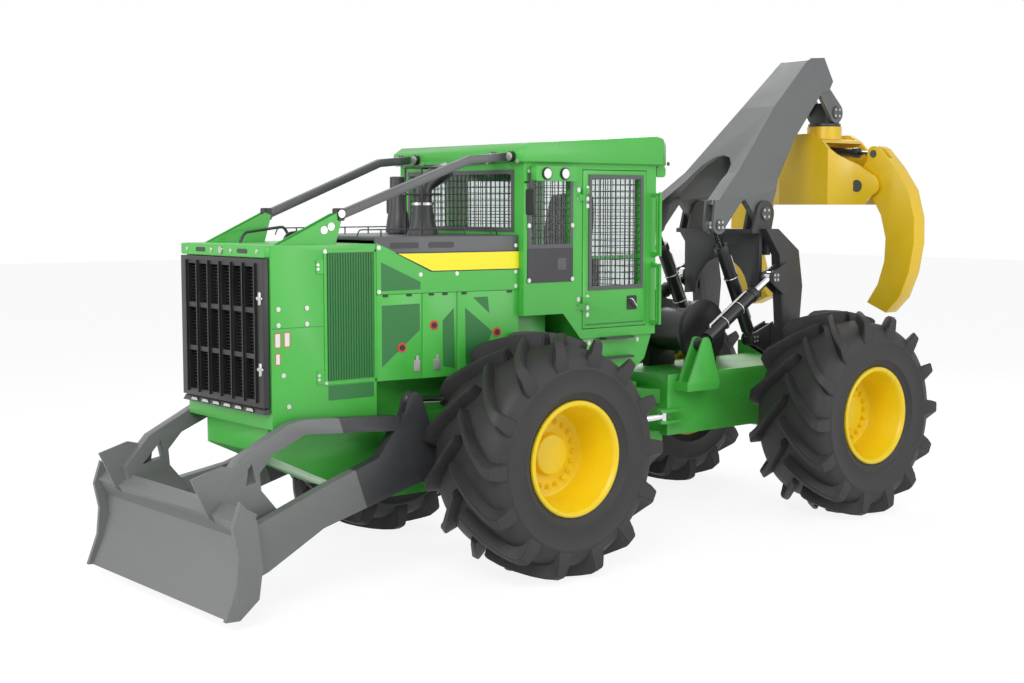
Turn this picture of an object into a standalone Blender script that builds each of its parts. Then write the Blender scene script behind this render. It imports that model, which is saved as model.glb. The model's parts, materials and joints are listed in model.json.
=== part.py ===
"""Grapple skidder: an articulated forestry tractor with a front blade, an enclosed cab, and a
grapple hung from an arch and a boom over the rear axle.

Metres, +Z up, ground at z = 0. The machine drives towards -Y, and its left side is +X.
Everything hangs from one empty, so that y = 0 in the tables below is the front axle.
"""

from math import atan2, cos, hypot, pi, radians, sin

import bmesh
import bpy
from mathutils import Matrix, Vector

# ---- Driving dimensions ----------------------------------------------------------------------

FRONT_AXLE_Y = -1.1235  # front axle from the middle of the overall length
WHEELBASE = 3.592
TRACK_HALF = 1.13  # centre line to the middle of a tyre
PIVOT_Y = WHEELBASE / 2  # steering pivot, from the front axle
GAP = 0.0003  # between pieces that touch
RUN = 0.0006  # radial clearance of a rod, pin or spindle

TYRE_R = 0.915
TYRE_HALF = 0.39  # half of the section width
RIM_R = 0.412  # bead seat
WHEEL_STEPS = 36
SPINDLE_R = 0.09

FRAME_HALF = 0.44  # outer face of both frames' side plates
FRAME_WALL = 0.035
FRAME_FLOOR = 0.60
HOOD_HALF = 0.60  # hood at its front
HOOD_REAR_HALF = 0.74  # hood where it meets the cab
HOOD_TOP = 2.55
HOOD_FRONT = -2.04
HOOD_BREAK = -1.165  # rear edge of the radiator housing
HOOD_WALL = 0.03
CAB_FRONT = 0.065
CAB_REAR = 1.49
CAB_HALF = 0.80
CAB_WALL = 0.05
CAB_TOP = 3.10
ROOF_FRONT = 0.02
DOOR_FRONT, DOOR_REAR = 0.675, 1.375
DOOR_LOW, DOOR_HIGH = 1.80, 3.05

BLADE_PIVOT = (-0.62, 0.92)  # y, z
ARCH_PIVOT = (3.55, 1.22)
BOOM_PIVOT = (3.25, 2.70)
SWING_PIVOT = (4.66, 3.68)
TONG_PIVOT = (0.53, 2.96)  # x, z

# ---- Scene, materials and shape helpers ------------------------------------------------------

for old in list(bpy.data.objects):
    bpy.data.objects.remove(old, do_unlink=True)

PARTS = bpy.data.collections.new("grapple_skidder")
HELPERS = bpy.data.collections.new("cutters_and_blanks")
bpy.context.scene.collection.children.link(PARTS)
bpy.context.scene.collection.children.link(HELPERS)

MACHINE = bpy.data.objects.new("machine_datum", None)
MACHINE.location = (0, FRONT_AXLE_Y, 0)
PARTS.objects.link(MACHINE)

GREEN = (0.060, 0.480, 0.055, 0.40, 0.0)
DARK_GREEN = (0.022, 0.190, 0.040, 0.50, 0.0)
YELLOW = (0.900, 0.600, 0.010, 0.40, 0.0)
GREY = (0.180, 0.190, 0.190, 0.50, 0.0)
DARK = (0.060, 0.060, 0.065, 0.50, 0.0)
BLACK = (0.020, 0.020, 0.022, 0.55, 0.0)
RUBBER = (0.025, 0.025, 0.025, 0.85, 0.0)
STEEL = (0.600, 0.600, 0.600, 0.25, 1.0)
CLOTH = (0.040, 0.040, 0.045, 0.90, 0.0)


def finish(name, mesh, look=None, origin=(0, 0, 0)):
    """An object of this mesh, with its origin at a place of the machine. No look: a helper."""
    mesh.transform(Matrix.Translation(-Vector(origin)))
    obj = bpy.data.objects.new(name, mesh)
    (PARTS if look else HELPERS).objects.link(obj)
    obj.parent = MACHINE
    obj.location = origin
    if look:
        red, green, blue, rough, metal = look
        material = bpy.data.materials.new(name)
        material.use_nodes = True
        shader = material.node_tree.nodes["Principled BSDF"]
        shader.inputs["Base Color"].default_value = (red, green, blue, 1)
        shader.inputs["Roughness"].default_value = rough
        shader.inputs["Metallic"].default_value = metal
        mesh.materials.append(material)
    else:
        obj.hide_render = True
        obj.display_type = "WIRE"
    return obj


def from_bmesh(name, shape, look, origin):
    bmesh.ops.recalc_face_normals(shape, faces=shape.faces[:])
    mesh = bpy.data.meshes.new(name)
    shape.to_mesh(mesh)
    shape.free()
    return finish(name, mesh, look, origin)


def box(name, x, y, z, look=None, origin=(0, 0, 0)):
    """A box between (low, high) on each axis."""
    shape = bmesh.new()
    spans = (x, y, z)
    middle = [(low + high) / 2 for low, high in spans]
    size = [high - low for low, high in spans]
    place = Matrix.Translation(middle) @ Matrix.Diagonal((*size, 1))
    bmesh.ops.create_cube(shape, size=1, matrix=place)
    return from_bmesh(name, shape, look, origin)


def bar(name, start, end, radius, look=None, origin=(0, 0, 0), sides=16, end_radius=None):
    """A round bar, or a cone, between two points."""
    start, end = Vector(start), Vector(end)
    turn = (end - start).to_track_quat("Z", "Y").to_matrix().to_4x4()
    shape = bmesh.new()
    bmesh.ops.create_cone(
        shape,
        cap_ends=True,
        segments=sides,
        radius1=radius,
        radius2=radius if end_radius is None else end_radius,
        depth=(end - start).length,
        matrix=Matrix.Translation((start + end) / 2) @ turn,
    )
    return from_bmesh(name, shape, look, origin)


# A plate's outline lies in the two other axes, in this order: across X (y, z), across Y (x, z),
# across Z (x, y). The matrix takes the curve's own x, y and normal to them.
PLATE_TURNS = {
    "X": Matrix(((0, 0, 1), (1, 0, 0), (0, 1, 0))),
    "Y": Matrix(((1, 0, 0), (0, 0, -1), (0, 1, 0))),
    "Z": Matrix.Identity(3),
}


def plate(name, across, outline, span, look=None, origin=(0, 0, 0), holes=()):
    """A flat plate cut to an outline, with holes, between two places along one axis."""
    curve = bpy.data.curves.new(name, "CURVE")
    curve.dimensions = "2D"
    curve.fill_mode = "BOTH"
    curve.extrude = abs(span[1] - span[0]) / 2
    for points in (outline, *holes):
        spline = curve.splines.new("POLY")
        spline.points.add(len(points) - 1)
        for point, (u, v) in zip(spline.points, points):
            point.co = (u, v, 0, 1)
        spline.use_cyclic_u = True
    blank = bpy.data.objects.new(name, curve)
    HELPERS.objects.link(blank)
    graph = bpy.context.evaluated_depsgraph_get()
    mesh = bpy.data.meshes.new_from_object(blank.evaluated_get(graph))
    bpy.data.objects.remove(blank)
    middle = (span[0] + span[1]) / 2
    place = Matrix.Translation(Vector([middle * (axis == across) for axis in "XYZ"]))
    shape = bmesh.new()
    shape.from_mesh(mesh)
    bpy.data.meshes.remove(mesh)
    bmesh.ops.remove_doubles(shape, verts=shape.verts[:], dist=1e-5)
    bmesh.ops.transform(shape, matrix=place @ PLATE_TURNS[across].to_4x4(), verts=shape.verts[:])
    return from_bmesh(name, shape, look, origin)


def loft(name, sections, look=None, origin=(0, 0, 0)):
    """A solid through closed sections, each a list of as many (x, y, z) points."""
    shape = bmesh.new()
    rings = [[shape.verts.new(point) for point in section] for section in sections]
    for ring, following in zip(rings, rings[1:]):
        count = len(ring)
        for k in range(count):
            after = (k + 1) % count
            shape.faces.new((ring[k], ring[after], following[after], following[k]))
    shape.faces.new(rings[0])
    shape.faces.new(rings[-1])
    return from_bmesh(name, shape, look, origin)


def boolean(body, operation, others):
    for other in others:
        modifier = body.modifiers.new(other.name, "BOOLEAN")
        modifier.operation = operation
        modifier.object = other
    return body


def weld_on(body, *others):
    return boolean(body, "UNION", others)


def cut(body, *others):
    return boolean(body, "DIFFERENCE", others)


def turned(name, profile, look, centre, outward, ring=False):
    """A solid of revolution about X: profile points are (radius, distance out), top to bottom."""
    mesh = bpy.data.meshes.new(name)
    points = [(radius, 0, out) for radius, out in profile]
    edges = [(k, k + 1) for k in range(len(points) - 1)]
    if ring:
        edges.append((len(points) - 1, 0))
    mesh.from_pydata(points, edges, [])
    obj = finish(name, mesh, look)
    obj.location = centre
    obj.rotation_euler = (0, outward * pi / 2, 0)
    screw = obj.modifiers.new("turn", "SCREW")
    screw.axis = "Z"
    screw.steps = screw.render_steps = WHEEL_STEPS
    screw.use_merge_vertices = True
    screw.merge_threshold = 1e-5
    return obj


def arc(centre, radius, first, last, steps):
    """Points along an arc, from one angle in degrees to another."""
    angles = [radians(first + (last - first) * k / steps) for k in range(steps + 1)]
    return [(centre[0] + radius * cos(a), centre[1] + radius * sin(a)) for a in angles]


def mirrored(points):
    """The outline of a symmetric shape from its half at positive u, top to bottom."""
    return list(points) + [(-u, v) for u, v in reversed(points) if u > GAP]


SIDES = (("left", 1), ("right", -1))


def inset(low_high, by=GAP):
    """A span made shorter at both ends."""
    return (low_high[0] + by, low_high[1] - by)


def span(side, inner, outer):
    """A span of |x| on one side, low before high."""
    return tuple(sorted((side * inner, side * outer)))


# ---- Hydraulic cylinders ---------------------------------------------------------------------

ROD_INSIDE = 0.06  # rod left in the barrel when it is fully out
NECK = 0.035  # from a base eye's rim to the barrel, which is wider than the fork it sits in


def cylinder(name, base, eye, pin, shortest, longest, barrel_r, rod_r, eye_r, width, looks):
    """A barrel and a rod between two eyes, closed to `shortest` and open to `longest`.

    `pin` is the pins' direction. The barrel's origin is its base eye and the rod's the other.
    """
    base, eye, pin = Vector(base), Vector(eye), Vector(pin)
    length = (eye - base).length
    along = (eye - base) / length
    barrel_end = shortest - eye_r - 0.03
    rod_start = barrel_end - ROD_INSIDE - (longest - length)
    bore_start = barrel_end - ROD_INSIDE - (longest - shortest) - 0.012
    half = pin * width / 2
    barrel_look, rod_look = looks
    foot = base + along * (eye_r + NECK)
    barrel = bar(name + "_barrel", foot, base + along * barrel_end, barrel_r, barrel_look, base)
    weld_on(
        barrel,
        bar(name + "_neck", base + along * eye_r * 0.5, foot + along * 0.01, width * 0.42),
        bar(name + "_base_eye", base - half, base + half, eye_r),
    )
    gland = base + along * (barrel_end - 0.06)
    weld_on(barrel, bar(name + "_gland", gland, base + along * (barrel_end + 0.004),
                        barrel_r + 0.008))
    cut(barrel, bar(name + "_bore", base + along * bore_start, base + along * (barrel_end + 0.02),
                    rod_r + RUN))
    rod = bar(name + "_rod", base + along * rod_start, eye - along * eye_r * 0.5, rod_r,
              rod_look, eye)
    weld_on(rod, bar(name + "_rod_eye", eye - half, eye + half, eye_r * 0.92))
    return barrel, rod


# ---- Wheels ----------------------------------------------------------------------------------

BEAD = 0.336  # half width between the rim's flanges
TYRE_HALF_PROFILE = (  # radius, distance from the tyre's middle
    (RIM_R, BEAD - 0.001),
    (0.437, BEAD),
    (0.470, 0.368),
    (0.600, TYRE_HALF),
    (0.760, TYRE_HALF - 0.006),
    (0.868, 0.362),
    (TYRE_R, 0.310),
)
RIM_PROFILE = (  # radius, distance outward from the rim's middle, over the face and back
    (0.0, 0.085),
    (0.150, 0.085),
    (0.160, 0.022),
    (0.325, 0.022),
    (0.345, 0.110),
    (0.372, 0.300),
    (0.405, 0.352),
    (0.4365, 0.352),
    (0.4365, BEAD + 2 * GAP),
    (RIM_R - GAP, BEAD + 2 * GAP),
    (RIM_R - GAP, -BEAD - 2 * GAP),
    (0.4365, -BEAD - 2 * GAP),
    (0.4365, -0.352),
    (0.405, -0.352),
    (0.380, -0.300),
    (0.365, -0.018),
    (SPINDLE_R + 2 * RUN, -0.018),
    (SPINDLE_R + 2 * RUN, 0.030),
    (0.0, 0.030),
)


def wheel(name, side, axle_y):
    """A forestry tyre and its dished rim. The tyre's profile is a closed ring."""
    centre = (side * TRACK_HALF, axle_y, TYRE_R)
    ring = TYRE_HALF_PROFILE + tuple((r, -out) for r, out in reversed(TYRE_HALF_PROFILE))
    turned("tyre_" + name, ring, RUBBER, centre, side, ring=True)
    turned("rim_" + name, RIM_PROFILE, YELLOW, centre, side)


for end, axle_y in (("front", 0.0), ("rear", WHEELBASE)):
    for side_name, side in SIDES:
        wheel(f"{end}_{side_name}", side, axle_y)

# ---- Axles -----------------------------------------------------------------------------------

HUB_END = TRACK_HALF - 0.018 - 0.012  # outer face of the planetary housing
ARM_R = 0.13
TRUNNION_R = 0.10


def axle(name, axle_y, trunnion):
    """Differential, tapered arms, planetary housings and spindles in one casting."""
    mid = (0, axle_y, TYRE_R)
    body = bar(name, (-0.60, axle_y, TYRE_R), (0.60, axle_y, TYRE_R), ARM_R, DARK, mid, 20)
    shapes = [
        bar(name + "_differential", (-0.20, axle_y, TYRE_R), (0.20, axle_y, TYRE_R), 0.235,
            sides=20)
    ]
    for side_name, side in SIDES:
        for part, inner, outer, radius in (
            ("flare", 0.56, 0.66, 0.20),
            ("planetary", 0.65, HUB_END, 0.245),
            ("spindle", HUB_END - 0.01, TRACK_HALF + 0.026, SPINDLE_R),
        ):
            shapes.append(bar(f"{name}_{part}_{side_name}", (side * inner, axle_y, TYRE_R),
                              (side * outer, axle_y, TYRE_R), radius, sides=20))
    if trunnion:
        reach = trunnion
        shapes.append(bar(name + "_trunnion", (0, axle_y - reach, TYRE_R),
                          (0, axle_y + reach, TYRE_R), TRUNNION_R, sides=20))
    return weld_on(body, *shapes)


CRADLE = 0.34  # middle of the cradle plates that hold the front axle's trunnions
CRADLE_HALF = 0.02
axle("front_axle", 0.0, CRADLE + CRADLE_HALF + 0.02)
axle("rear_axle", WHEELBASE, 0)

# ---- Front frame -----------------------------------------------------------------------------

FRONT_FRAME_REAR = 1.36
FRONT_FRAME_NOSE = -1.98
ARCHWAY = 0.30  # half length of the opening over the axle
ARCHWAY_TOP = 1.12
FRAME_TOP = 1.225
YOKE_HALF = 0.20
YOKE_LEVELS = ((0.62, 0.67), (1.17, 1.22))  # front frame's hinge plates
PIN_R = 0.07

side_outline = [
    (FRONT_FRAME_NOSE, FRAME_TOP),
    (FRONT_FRAME_NOSE, 1.02),
    (-1.10, FRAME_FLOOR),
    (-ARCHWAY, FRAME_FLOOR),
    (-ARCHWAY, ARCHWAY_TOP),
    (ARCHWAY, ARCHWAY_TOP),
    (ARCHWAY, FRAME_FLOOR),
    (FRONT_FRAME_REAR, FRAME_FLOOR),
    (FRONT_FRAME_REAR, FRAME_TOP),
]
front_frame = plate("front_frame", "X", side_outline, (FRAME_HALF - FRAME_WALL, FRAME_HALF), GREEN)
weld_on(
    front_frame,
    plate("frame_side_right", "X", side_outline, (-FRAME_HALF, -FRAME_HALF + FRAME_WALL)),
)
INSIDE = (-FRAME_HALF + 0.01, FRAME_HALF - 0.01)
for name, y, z in (  # cross plates and floors
    ("nose_plate", (FRONT_FRAME_NOSE, FRONT_FRAME_NOSE + 0.04), (1.03, FRAME_TOP - 0.002)),
    ("front_cradle", (-CRADLE - CRADLE_HALF, -CRADLE + CRADLE_HALF), (0.604, FRAME_TOP - 0.002)),
    ("rear_cradle", (CRADLE - CRADLE_HALF, CRADLE + CRADLE_HALF), (0.604, FRAME_TOP - 0.002)),
    ("rear_bulkhead", (FRONT_FRAME_REAR - 0.05, FRONT_FRAME_REAR - 0.002), (0.602, FRAME_TOP - 0.002)),
    ("belly_front", (-1.10, -CRADLE), (0.602, 0.625)),
    ("belly_rear", (CRADLE, FRONT_FRAME_REAR - 0.01), (0.602, 0.625)),
):
    weld_on(front_frame, box(name, INSIDE, y, z))
weld_on(
    front_frame,
    loft("nose_belly", [
        [(x, FRONT_FRAME_NOSE + 0.01, 1.02), (x, FRONT_FRAME_NOSE + 0.01, 1.05),
         (x, -1.09, 0.63), (x, -1.09, 0.604)]
        for x in INSIDE
    ]),
)
cut(
    front_frame,
    bar("trunnion_bore", (0, -0.6, TYRE_R), (0, 0.6, TYRE_R), TRUNNION_R + RUN, sides=20),
)
for k, (low, high) in enumerate(YOKE_LEVELS):
    outline = [(0.34, FRONT_FRAME_REAR - 0.02), (YOKE_HALF, PIVOT_Y)]
    outline += arc((0, PIVOT_Y), YOKE_HALF, 15, 90, 4)
    weld_on(front_frame, plate(f"front_yoke_{k}", "Z", mirrored(outline), (low, high)))

# Blade pivot ears, outside the side plates, and the anchors of the lift and steering cylinders.
BLADE_IN, BLADE_OUT = 0.620, 0.710  # the push arms' faces
FORK_X = (BLADE_IN + BLADE_OUT) / 2  # middle of the lift cylinders and their forks
FORK_HALF = 0.0305
for side_name, side in SIDES:
    pivot_y, pivot_z = BLADE_PIVOT
    boss = bar(f"blade_trunnion_{side_name}", (side * (FRAME_HALF - 0.01), pivot_y, pivot_z),
               (side * (BLADE_OUT + 0.012), pivot_y, pivot_z), 0.055)
    shoe = bar(f"blade_boss_{side_name}", (side * (FRAME_HALF - 0.01), pivot_y, pivot_z),
               (side * (BLADE_IN - 0.001), pivot_y, pivot_z), 0.13)
    weld_on(front_frame, boss, shoe)

STEER_X, STEER_Z = 0.56, 0.95
STEER_FRONT_Y = 0.56
for side_name, side in SIDES:
    cut(front_frame, box(f"steering_window_{side_name}", span(side, 0.33, 0.50),
                         (1.10, FRONT_FRAME_REAR + 0.04), (STEER_Z - 0.082, STEER_Z + 0.082)))
    for level, low in (("upper", STEER_Z + 0.0355), ("lower", STEER_Z - 0.0605)):
        outline = [(side * (FRAME_HALF - 0.01), STEER_FRONT_Y - 0.12)]
        outline += [(side * (STEER_X + 0.01), STEER_FRONT_Y - 0.06)]
        outline += [(side * (STEER_X + 0.05), STEER_FRONT_Y), (side * (STEER_X + 0.03), STEER_FRONT_Y + 0.05)]
        outline += [(side * (FRAME_HALF - 0.01), STEER_FRONT_Y + 0.10)]
        weld_on(front_frame,
                plate(f"steering_ear_{level}_{side_name}", "Z", outline, (low, low + 0.025)))

# ---- Engine, cooling and hood ----------------------------------------------------------------

box("engine_block", (-0.33, 0.33), (-1.12, 0.02), (FRAME_TOP - 0.002 + GAP, 2.05), BLACK)

housing = box("radiator_housing", (-HOOD_HALF, HOOD_HALF), (HOOD_FRONT, HOOD_BREAK),
              (FRAME_TOP + GAP, 2.50), GREEN)
inner = HOOD_HALF - HOOD_WALL
SCREEN_Y, SCREEN_Z = (-1.585, -1.185), (1.53, 2.44)
GRILLE_HALF = 0.585
GRILLE_LOW, GRILLE_HIGH = 1.38, 2.41
cut(
    housing,
    box("housing_hollow", (-inner, inner), (HOOD_FRONT + 0.04, HOOD_BREAK + 0.02), (1.262, 2.47)),
    box("grille_opening", (-0.53, 0.53), (HOOD_FRONT - 0.02, HOOD_FRONT + 0.05),
        (GRILLE_LOW + 0.05, GRILLE_HIGH - 0.05)),
    box("screen_openings", (-0.7, 0.7), SCREEN_Y, SCREEN_Z),
)
for side_name, side in SIDES:
    screen = box(f"side_screen_{side_name}", span(side, HOOD_HALF - 0.028, HOOD_HALF - 0.008),
                 inset(SCREEN_Y, -0.004), inset(SCREEN_Z, -0.004))
    weld_on(housing, screen)

# The grille door hangs on two hinges at its right edge.
GRILLE_HINGE = (-GRILLE_HALF - 0.012, HOOD_FRONT - 0.028)
GRILLE_Y = (HOOD_FRONT - 0.055, HOOD_FRONT - 0.004)
grille = box("grille_door", (-GRILLE_HALF, GRILLE_HALF), GRILLE_Y, (GRILLE_LOW, GRILLE_HIGH), BLACK,
             (*GRILLE_HINGE, GRILLE_LOW))
cut(
    grille,
    *[
        box(f"grille_slot_{column}_{row}", (x - 0.066, x + 0.066), (GRILLE_Y[0] - 0.02, GRILLE_Y[1] + 0.02),
            (low, low + 0.285))
        for column, x in enumerate((-0.41, -0.246, -0.082, 0.082, 0.246, 0.41))
        for row, low in enumerate((1.43, 1.75, 2.07))
    ],
)
HINGE_R = 0.012
HINGE_HALF = 0.05
for k, z in enumerate((1.60, 2.20)):
    x, y = GRILLE_HINGE
    weld_on(grille, bar(f"grille_knuckle_{k}", (x, y, z + GAP), (x, y, z + HINGE_HALF), HINGE_R,
                        sides=12))
    weld_on(grille, box(f"grille_leaf_{k}", (x, x + 0.03), (y - 0.005, y + 0.005),
                        (z + GAP, z + HINGE_HALF)))
    weld_on(housing, bar(f"housing_knuckle_{k}", (x, y, z - HINGE_HALF), (x, y, z), HINGE_R,
                         sides=12))
    weld_on(housing, box(f"housing_leaf_{k}", (x - 0.003, x + 0.007), (y, HOOD_FRONT + 0.01),
                         (z - HINGE_HALF, z)))


def hood_half(y, inset=0.0):
    """Half width of the hood at y, less an inset."""
    share = (y - HOOD_BREAK) / (CAB_FRONT - HOOD_BREAK)
    return HOOD_HALF + (HOOD_REAR_HALF - HOOD_HALF) * share - inset


BAND_LOW = 2.13  # lower edge of the fixed band above the side panels
hood_y = (HOOD_BREAK + GAP, CAB_FRONT - GAP)
hood = plate("hood", "Z", mirrored([(hood_half(y), y) for y in hood_y]), (BAND_LOW, HOOD_TOP), GREY)
hollow = [(hood_half(y, HOOD_WALL), y) for y in (hood_y[0] - 0.05, hood_y[1] + 0.05)]
cut(hood, plate("hood_hollow", "Z", mirrored(hollow), (BAND_LOW - 0.05, HOOD_TOP - HOOD_WALL)))

PANEL_LOW = 1.50  # lower edge of the lift-off panels
PANEL_SEAMS = (-0.785, -0.485)
SEAM, SEAM_DEPTH = 0.010, 0.008
for side_name, side in SIDES:
    outline = [
        (side * hood_half(hood_y[0]), hood_y[0]),
        (side * hood_half(hood_y[1]), hood_y[1]),
        (side * hood_half(hood_y[1], HOOD_WALL), hood_y[1]),
        (side * hood_half(hood_y[0], HOOD_WALL), hood_y[0]),
    ]
    name = f"engine_side_{side_name}"
    wall = plate(name, "Z", outline, (PANEL_LOW, BAND_LOW - GAP), GREEN)
    sill = [(x, y) for x, y in outline[:2]] + [(side * 0.36, y) for x, y in outline[2:]]
    foot_x = span(side, 0.36, FRAME_HALF)
    weld_on(
        wall,
        plate(name + "_sill", "Z", sill, (PANEL_LOW + 0.005, PANEL_LOW + 0.04)),
        box(name + "_foot", foot_x, inset(hood_y, 0.02), (FRAME_TOP + GAP, PANEL_LOW + 0.01)),
    )
    for k, y in enumerate(PANEL_SEAMS):
        half = hood_half(y)
        cut(wall, box(f"{name}_seam_{k}", span(side, half - SEAM_DEPTH, half + 0.05),
                      (y - SEAM / 2, y + SEAM / 2), (PANEL_LOW - 0.01, 2.2)))

# Exhaust stack in front of the cab.
stack = bar("exhaust_stack", (-0.16, -0.42, HOOD_TOP + GAP), (-0.16, -0.42, 2.72), 0.085, BLACK,
            sides=16, end_radius=0.06)
weld_on(stack, bar("stack_pipe", (-0.16, -0.42, 2.70), (-0.16, -0.42, 3.00), 0.055, sides=16))

# ---- Cab -------------------------------------------------------------------------------------

CAB_STEP = 1.93  # underside of the cab over the front tyres
CAB_LOW = 1.72
cab_side = [
    (CAB_FRONT, CAB_STEP),
    (0.47, CAB_STEP),
    (0.66, CAB_LOW),
    (CAB_REAR, CAB_LOW),
    (CAB_REAR, CAB_TOP),
    (CAB_FRONT, CAB_TOP),
]
cab_inside = [
    (CAB_FRONT + CAB_WALL, CAB_STEP + CAB_WALL),
    (0.495, CAB_STEP + CAB_WALL),
    (0.685, CAB_LOW + CAB_WALL),
    (CAB_REAR - CAB_WALL, CAB_LOW + CAB_WALL),
    (CAB_REAR - CAB_WALL, CAB_TOP + 0.05),
    (CAB_FRONT + CAB_WALL, CAB_TOP + 0.05),
]
CORNER_Y, CORNER_Z = (0.13, 0.54), (2.20, 3.02)
SHIELD_HALF, SHIELD_Z = 0.66, (2.60, 3.02)
BACKLIGHT_HALF, BACKLIGHT_Z = 0.60, (2.00, 3.00)
DOOR_GAP = 0.006
cab = plate("cab_frame", "X", cab_side, (-CAB_HALF, CAB_HALF), GREEN)
inside_half = CAB_HALF - CAB_WALL
cut(
    cab,
    plate("cab_hollow", "X", cab_inside, (-inside_half, inside_half)),
    box("door_openings", (-1, 1), (DOOR_FRONT - DOOR_GAP, DOOR_REAR + DOOR_GAP),
        (DOOR_LOW - DOOR_GAP, DOOR_HIGH + DOOR_GAP)),
    box("corner_openings", (-1, 1), CORNER_Y, CORNER_Z),
    box("shield_opening", (-SHIELD_HALF, SHIELD_HALF), (CAB_FRONT - 0.1, CAB_FRONT + 0.1), SHIELD_Z),
    box("backlight_opening", (-BACKLIGHT_HALF, BACKLIGHT_HALF), (CAB_REAR - 0.1, CAB_REAR + 0.1),
        BACKLIGHT_Z),
)

roof_side = [(ROOF_FRONT, CAB_TOP + GAP), (1.73, CAB_TOP + GAP), (1.73, 3.275), (1.46, 3.335), (0.10, 3.25),
             (ROOF_FRONT, 3.20)]
roof = plate("cab_roof", "X", roof_side, (-0.84, 0.84), GREEN)
for side_name, side in SIDES:
    corner = [(side * 0.62, 1.80), (side * 0.90, 1.80), (side * 0.90, 1.46)]
    cut(roof, plate(f"roof_chamfer_{side_name}", "Z", corner, (3.0, 3.5)))

# Doors hang on two hinges in front, with the window cut through the skin.
DOOR_WALL = 0.045
HINGE_X = CAB_HALF + 0.016
HINGE_Y = DOOR_FRONT - DOOR_GAP / 2
WINDOW_Y, WINDOW_Z = (0.76, 1.31), (2.13, 2.99)
for side_name, side in SIDES:
    door_x = span(side, CAB_HALF - DOOR_WALL + 0.004, CAB_HALF + 0.004)
    door = box(f"door_{side_name}", door_x, (DOOR_FRONT, DOOR_REAR), (DOOR_LOW, DOOR_HIGH), GREEN,
               (side * HINGE_X, HINGE_Y, DOOR_LOW))
    cut(door, box(f"door_window_opening_{side_name}", span(side, 0.6, 0.95), WINDOW_Y, WINDOW_Z))
    for k, z in enumerate((2.00, 2.86)):
        x = side * HINGE_X
        weld_on(door, bar(f"door_knuckle_{side_name}_{k}", (x, HINGE_Y, z + GAP),
                          (x, HINGE_Y, z + HINGE_HALF), HINGE_R, sides=12))
        weld_on(door, box(f"door_leaf_{side_name}_{k}", span(side, CAB_HALF, CAB_HALF + 0.016),
                          (HINGE_Y, HINGE_Y + 0.06), (z + GAP, z + HINGE_HALF)))
        weld_on(cab, bar(f"cab_knuckle_{side_name}_{k}", (x, HINGE_Y, z - HINGE_HALF),
                         (x, HINGE_Y, z), HINGE_R, sides=12))
        weld_on(cab, box(f"cab_leaf_{side_name}_{k}", span(side, CAB_HALF - 0.01, CAB_HALF + 0.016),
                         (HINGE_Y - 0.05, HINGE_Y - 0.004), (z - HINGE_HALF, z)))

# Cab base: the green skirt and tank body between the cab floor and the front frame.
base_side = [
    (0.70, 1.50),
    (0.70, CAB_LOW - GAP),
    (CAB_REAR - 0.02, CAB_LOW - GAP),
    (CAB_REAR - 0.10, 1.52),
    (1.22, 1.40),
    (1.05, 1.40),
]
base = plate("cab_base", "X", base_side, (-CAB_HALF + 0.02, CAB_HALF - 0.02), GREEN)
weld_on(base, box("base_tank", (-0.42, 0.42), (0.12, 1.30), (FRAME_TOP + GAP, 1.52)))
weld_on(base, box("base_mounts", (-0.60, 0.60), (0.13, 0.72), (1.50, CAB_LOW - GAP)))
riser = box("floor_riser", (-0.60, 0.60), (0.13, 0.46), (CAB_LOW - 0.01, CAB_STEP - GAP))
weld_on(base, riser)

# Operator's seat and the two control pods.
floor = CAB_LOW + CAB_WALL
seat_base = box("seat_base", (-0.20, 0.20), (0.86, 1.18), (floor + GAP, 2.12), BLACK)
weld_on(seat_base, box("seat_floor_plate", (-0.45, 0.45), (0.76, 1.16), (floor + GAP, floor + 0.02)))
for side_name, side in SIDES:
    pod = [(0.72, floor + GAP), (1.15, floor + GAP), (1.15, 2.34), (0.78, 2.42), (0.72, 2.36)]
    weld_on(seat_base, plate(f"control_pod_{side_name}", "X", pod, span(side, 0.33, 0.48)))
seat_side = [(0.80, 2.12 + GAP), (1.34, 2.12 + GAP), (1.42, 2.86), (1.30, 2.88), (1.22, 2.28), (0.80, 2.27)]
plate("seat", "X", seat_side, (-0.26, 0.26), CLOTH)

# Square tubes that guard the hood and windshield, from the hood up to the cab.
GUARD_LINE = (  # |x|, y, z of the tube's middle, and half its side
    (0.489, -1.535, HOOD_TOP - 0.05 + 0.03),
    (0.500, -1.420, 2.70),
    (0.588, -0.304, 3.115),
    (0.628, ROOF_FRONT - GAP, 3.145),
)
TUBE = 0.032
for side_name, side in SIDES:
    sections = []
    for x, y, z in GUARD_LINE:
        sections.append([
            (side * (x + u * TUBE), y, z + v * TUBE)
            for u, v in ((1, 1), (-1, 1), (-1, -1), (1, -1))
        ])
    sections[0] = [
        (side * (0.489 + u * TUBE), -1.535 + v * TUBE, 2.50 + GAP)
        for u, v in ((1, -1), (-1, -1), (-1, 1), (1, 1))
    ]
    loft(f"brush_guard_{side_name}", sections, GREY)

# Handrails at the cab's rear corners: two hoops on each side.
RAIL_R = 0.014
RAIL_Y = 1.455
for side_name, side in SIDES:
    for k, (low, high) in enumerate(((1.80, 2.30), (2.36, 2.88))):
        out = side * (CAB_HALF + 0.085)
        near = side * (CAB_HALF - 0.01)
        name = f"rail_{side_name}_{k}"
        weld_on(
            cab,
            bar(name, (out, RAIL_Y, low), (out, RAIL_Y, high), RAIL_R, sides=10),
            bar(name + "_low", (near, RAIL_Y, low + 0.02), (out, RAIL_Y, low + 0.02), RAIL_R, sides=10),
            bar(name + "_high", (near, RAIL_Y, high - 0.02), (out, RAIL_Y, high - 0.02), RAIL_R, sides=10),
        )

# ---- Rear frame ------------------------------------------------------------------------------

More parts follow.
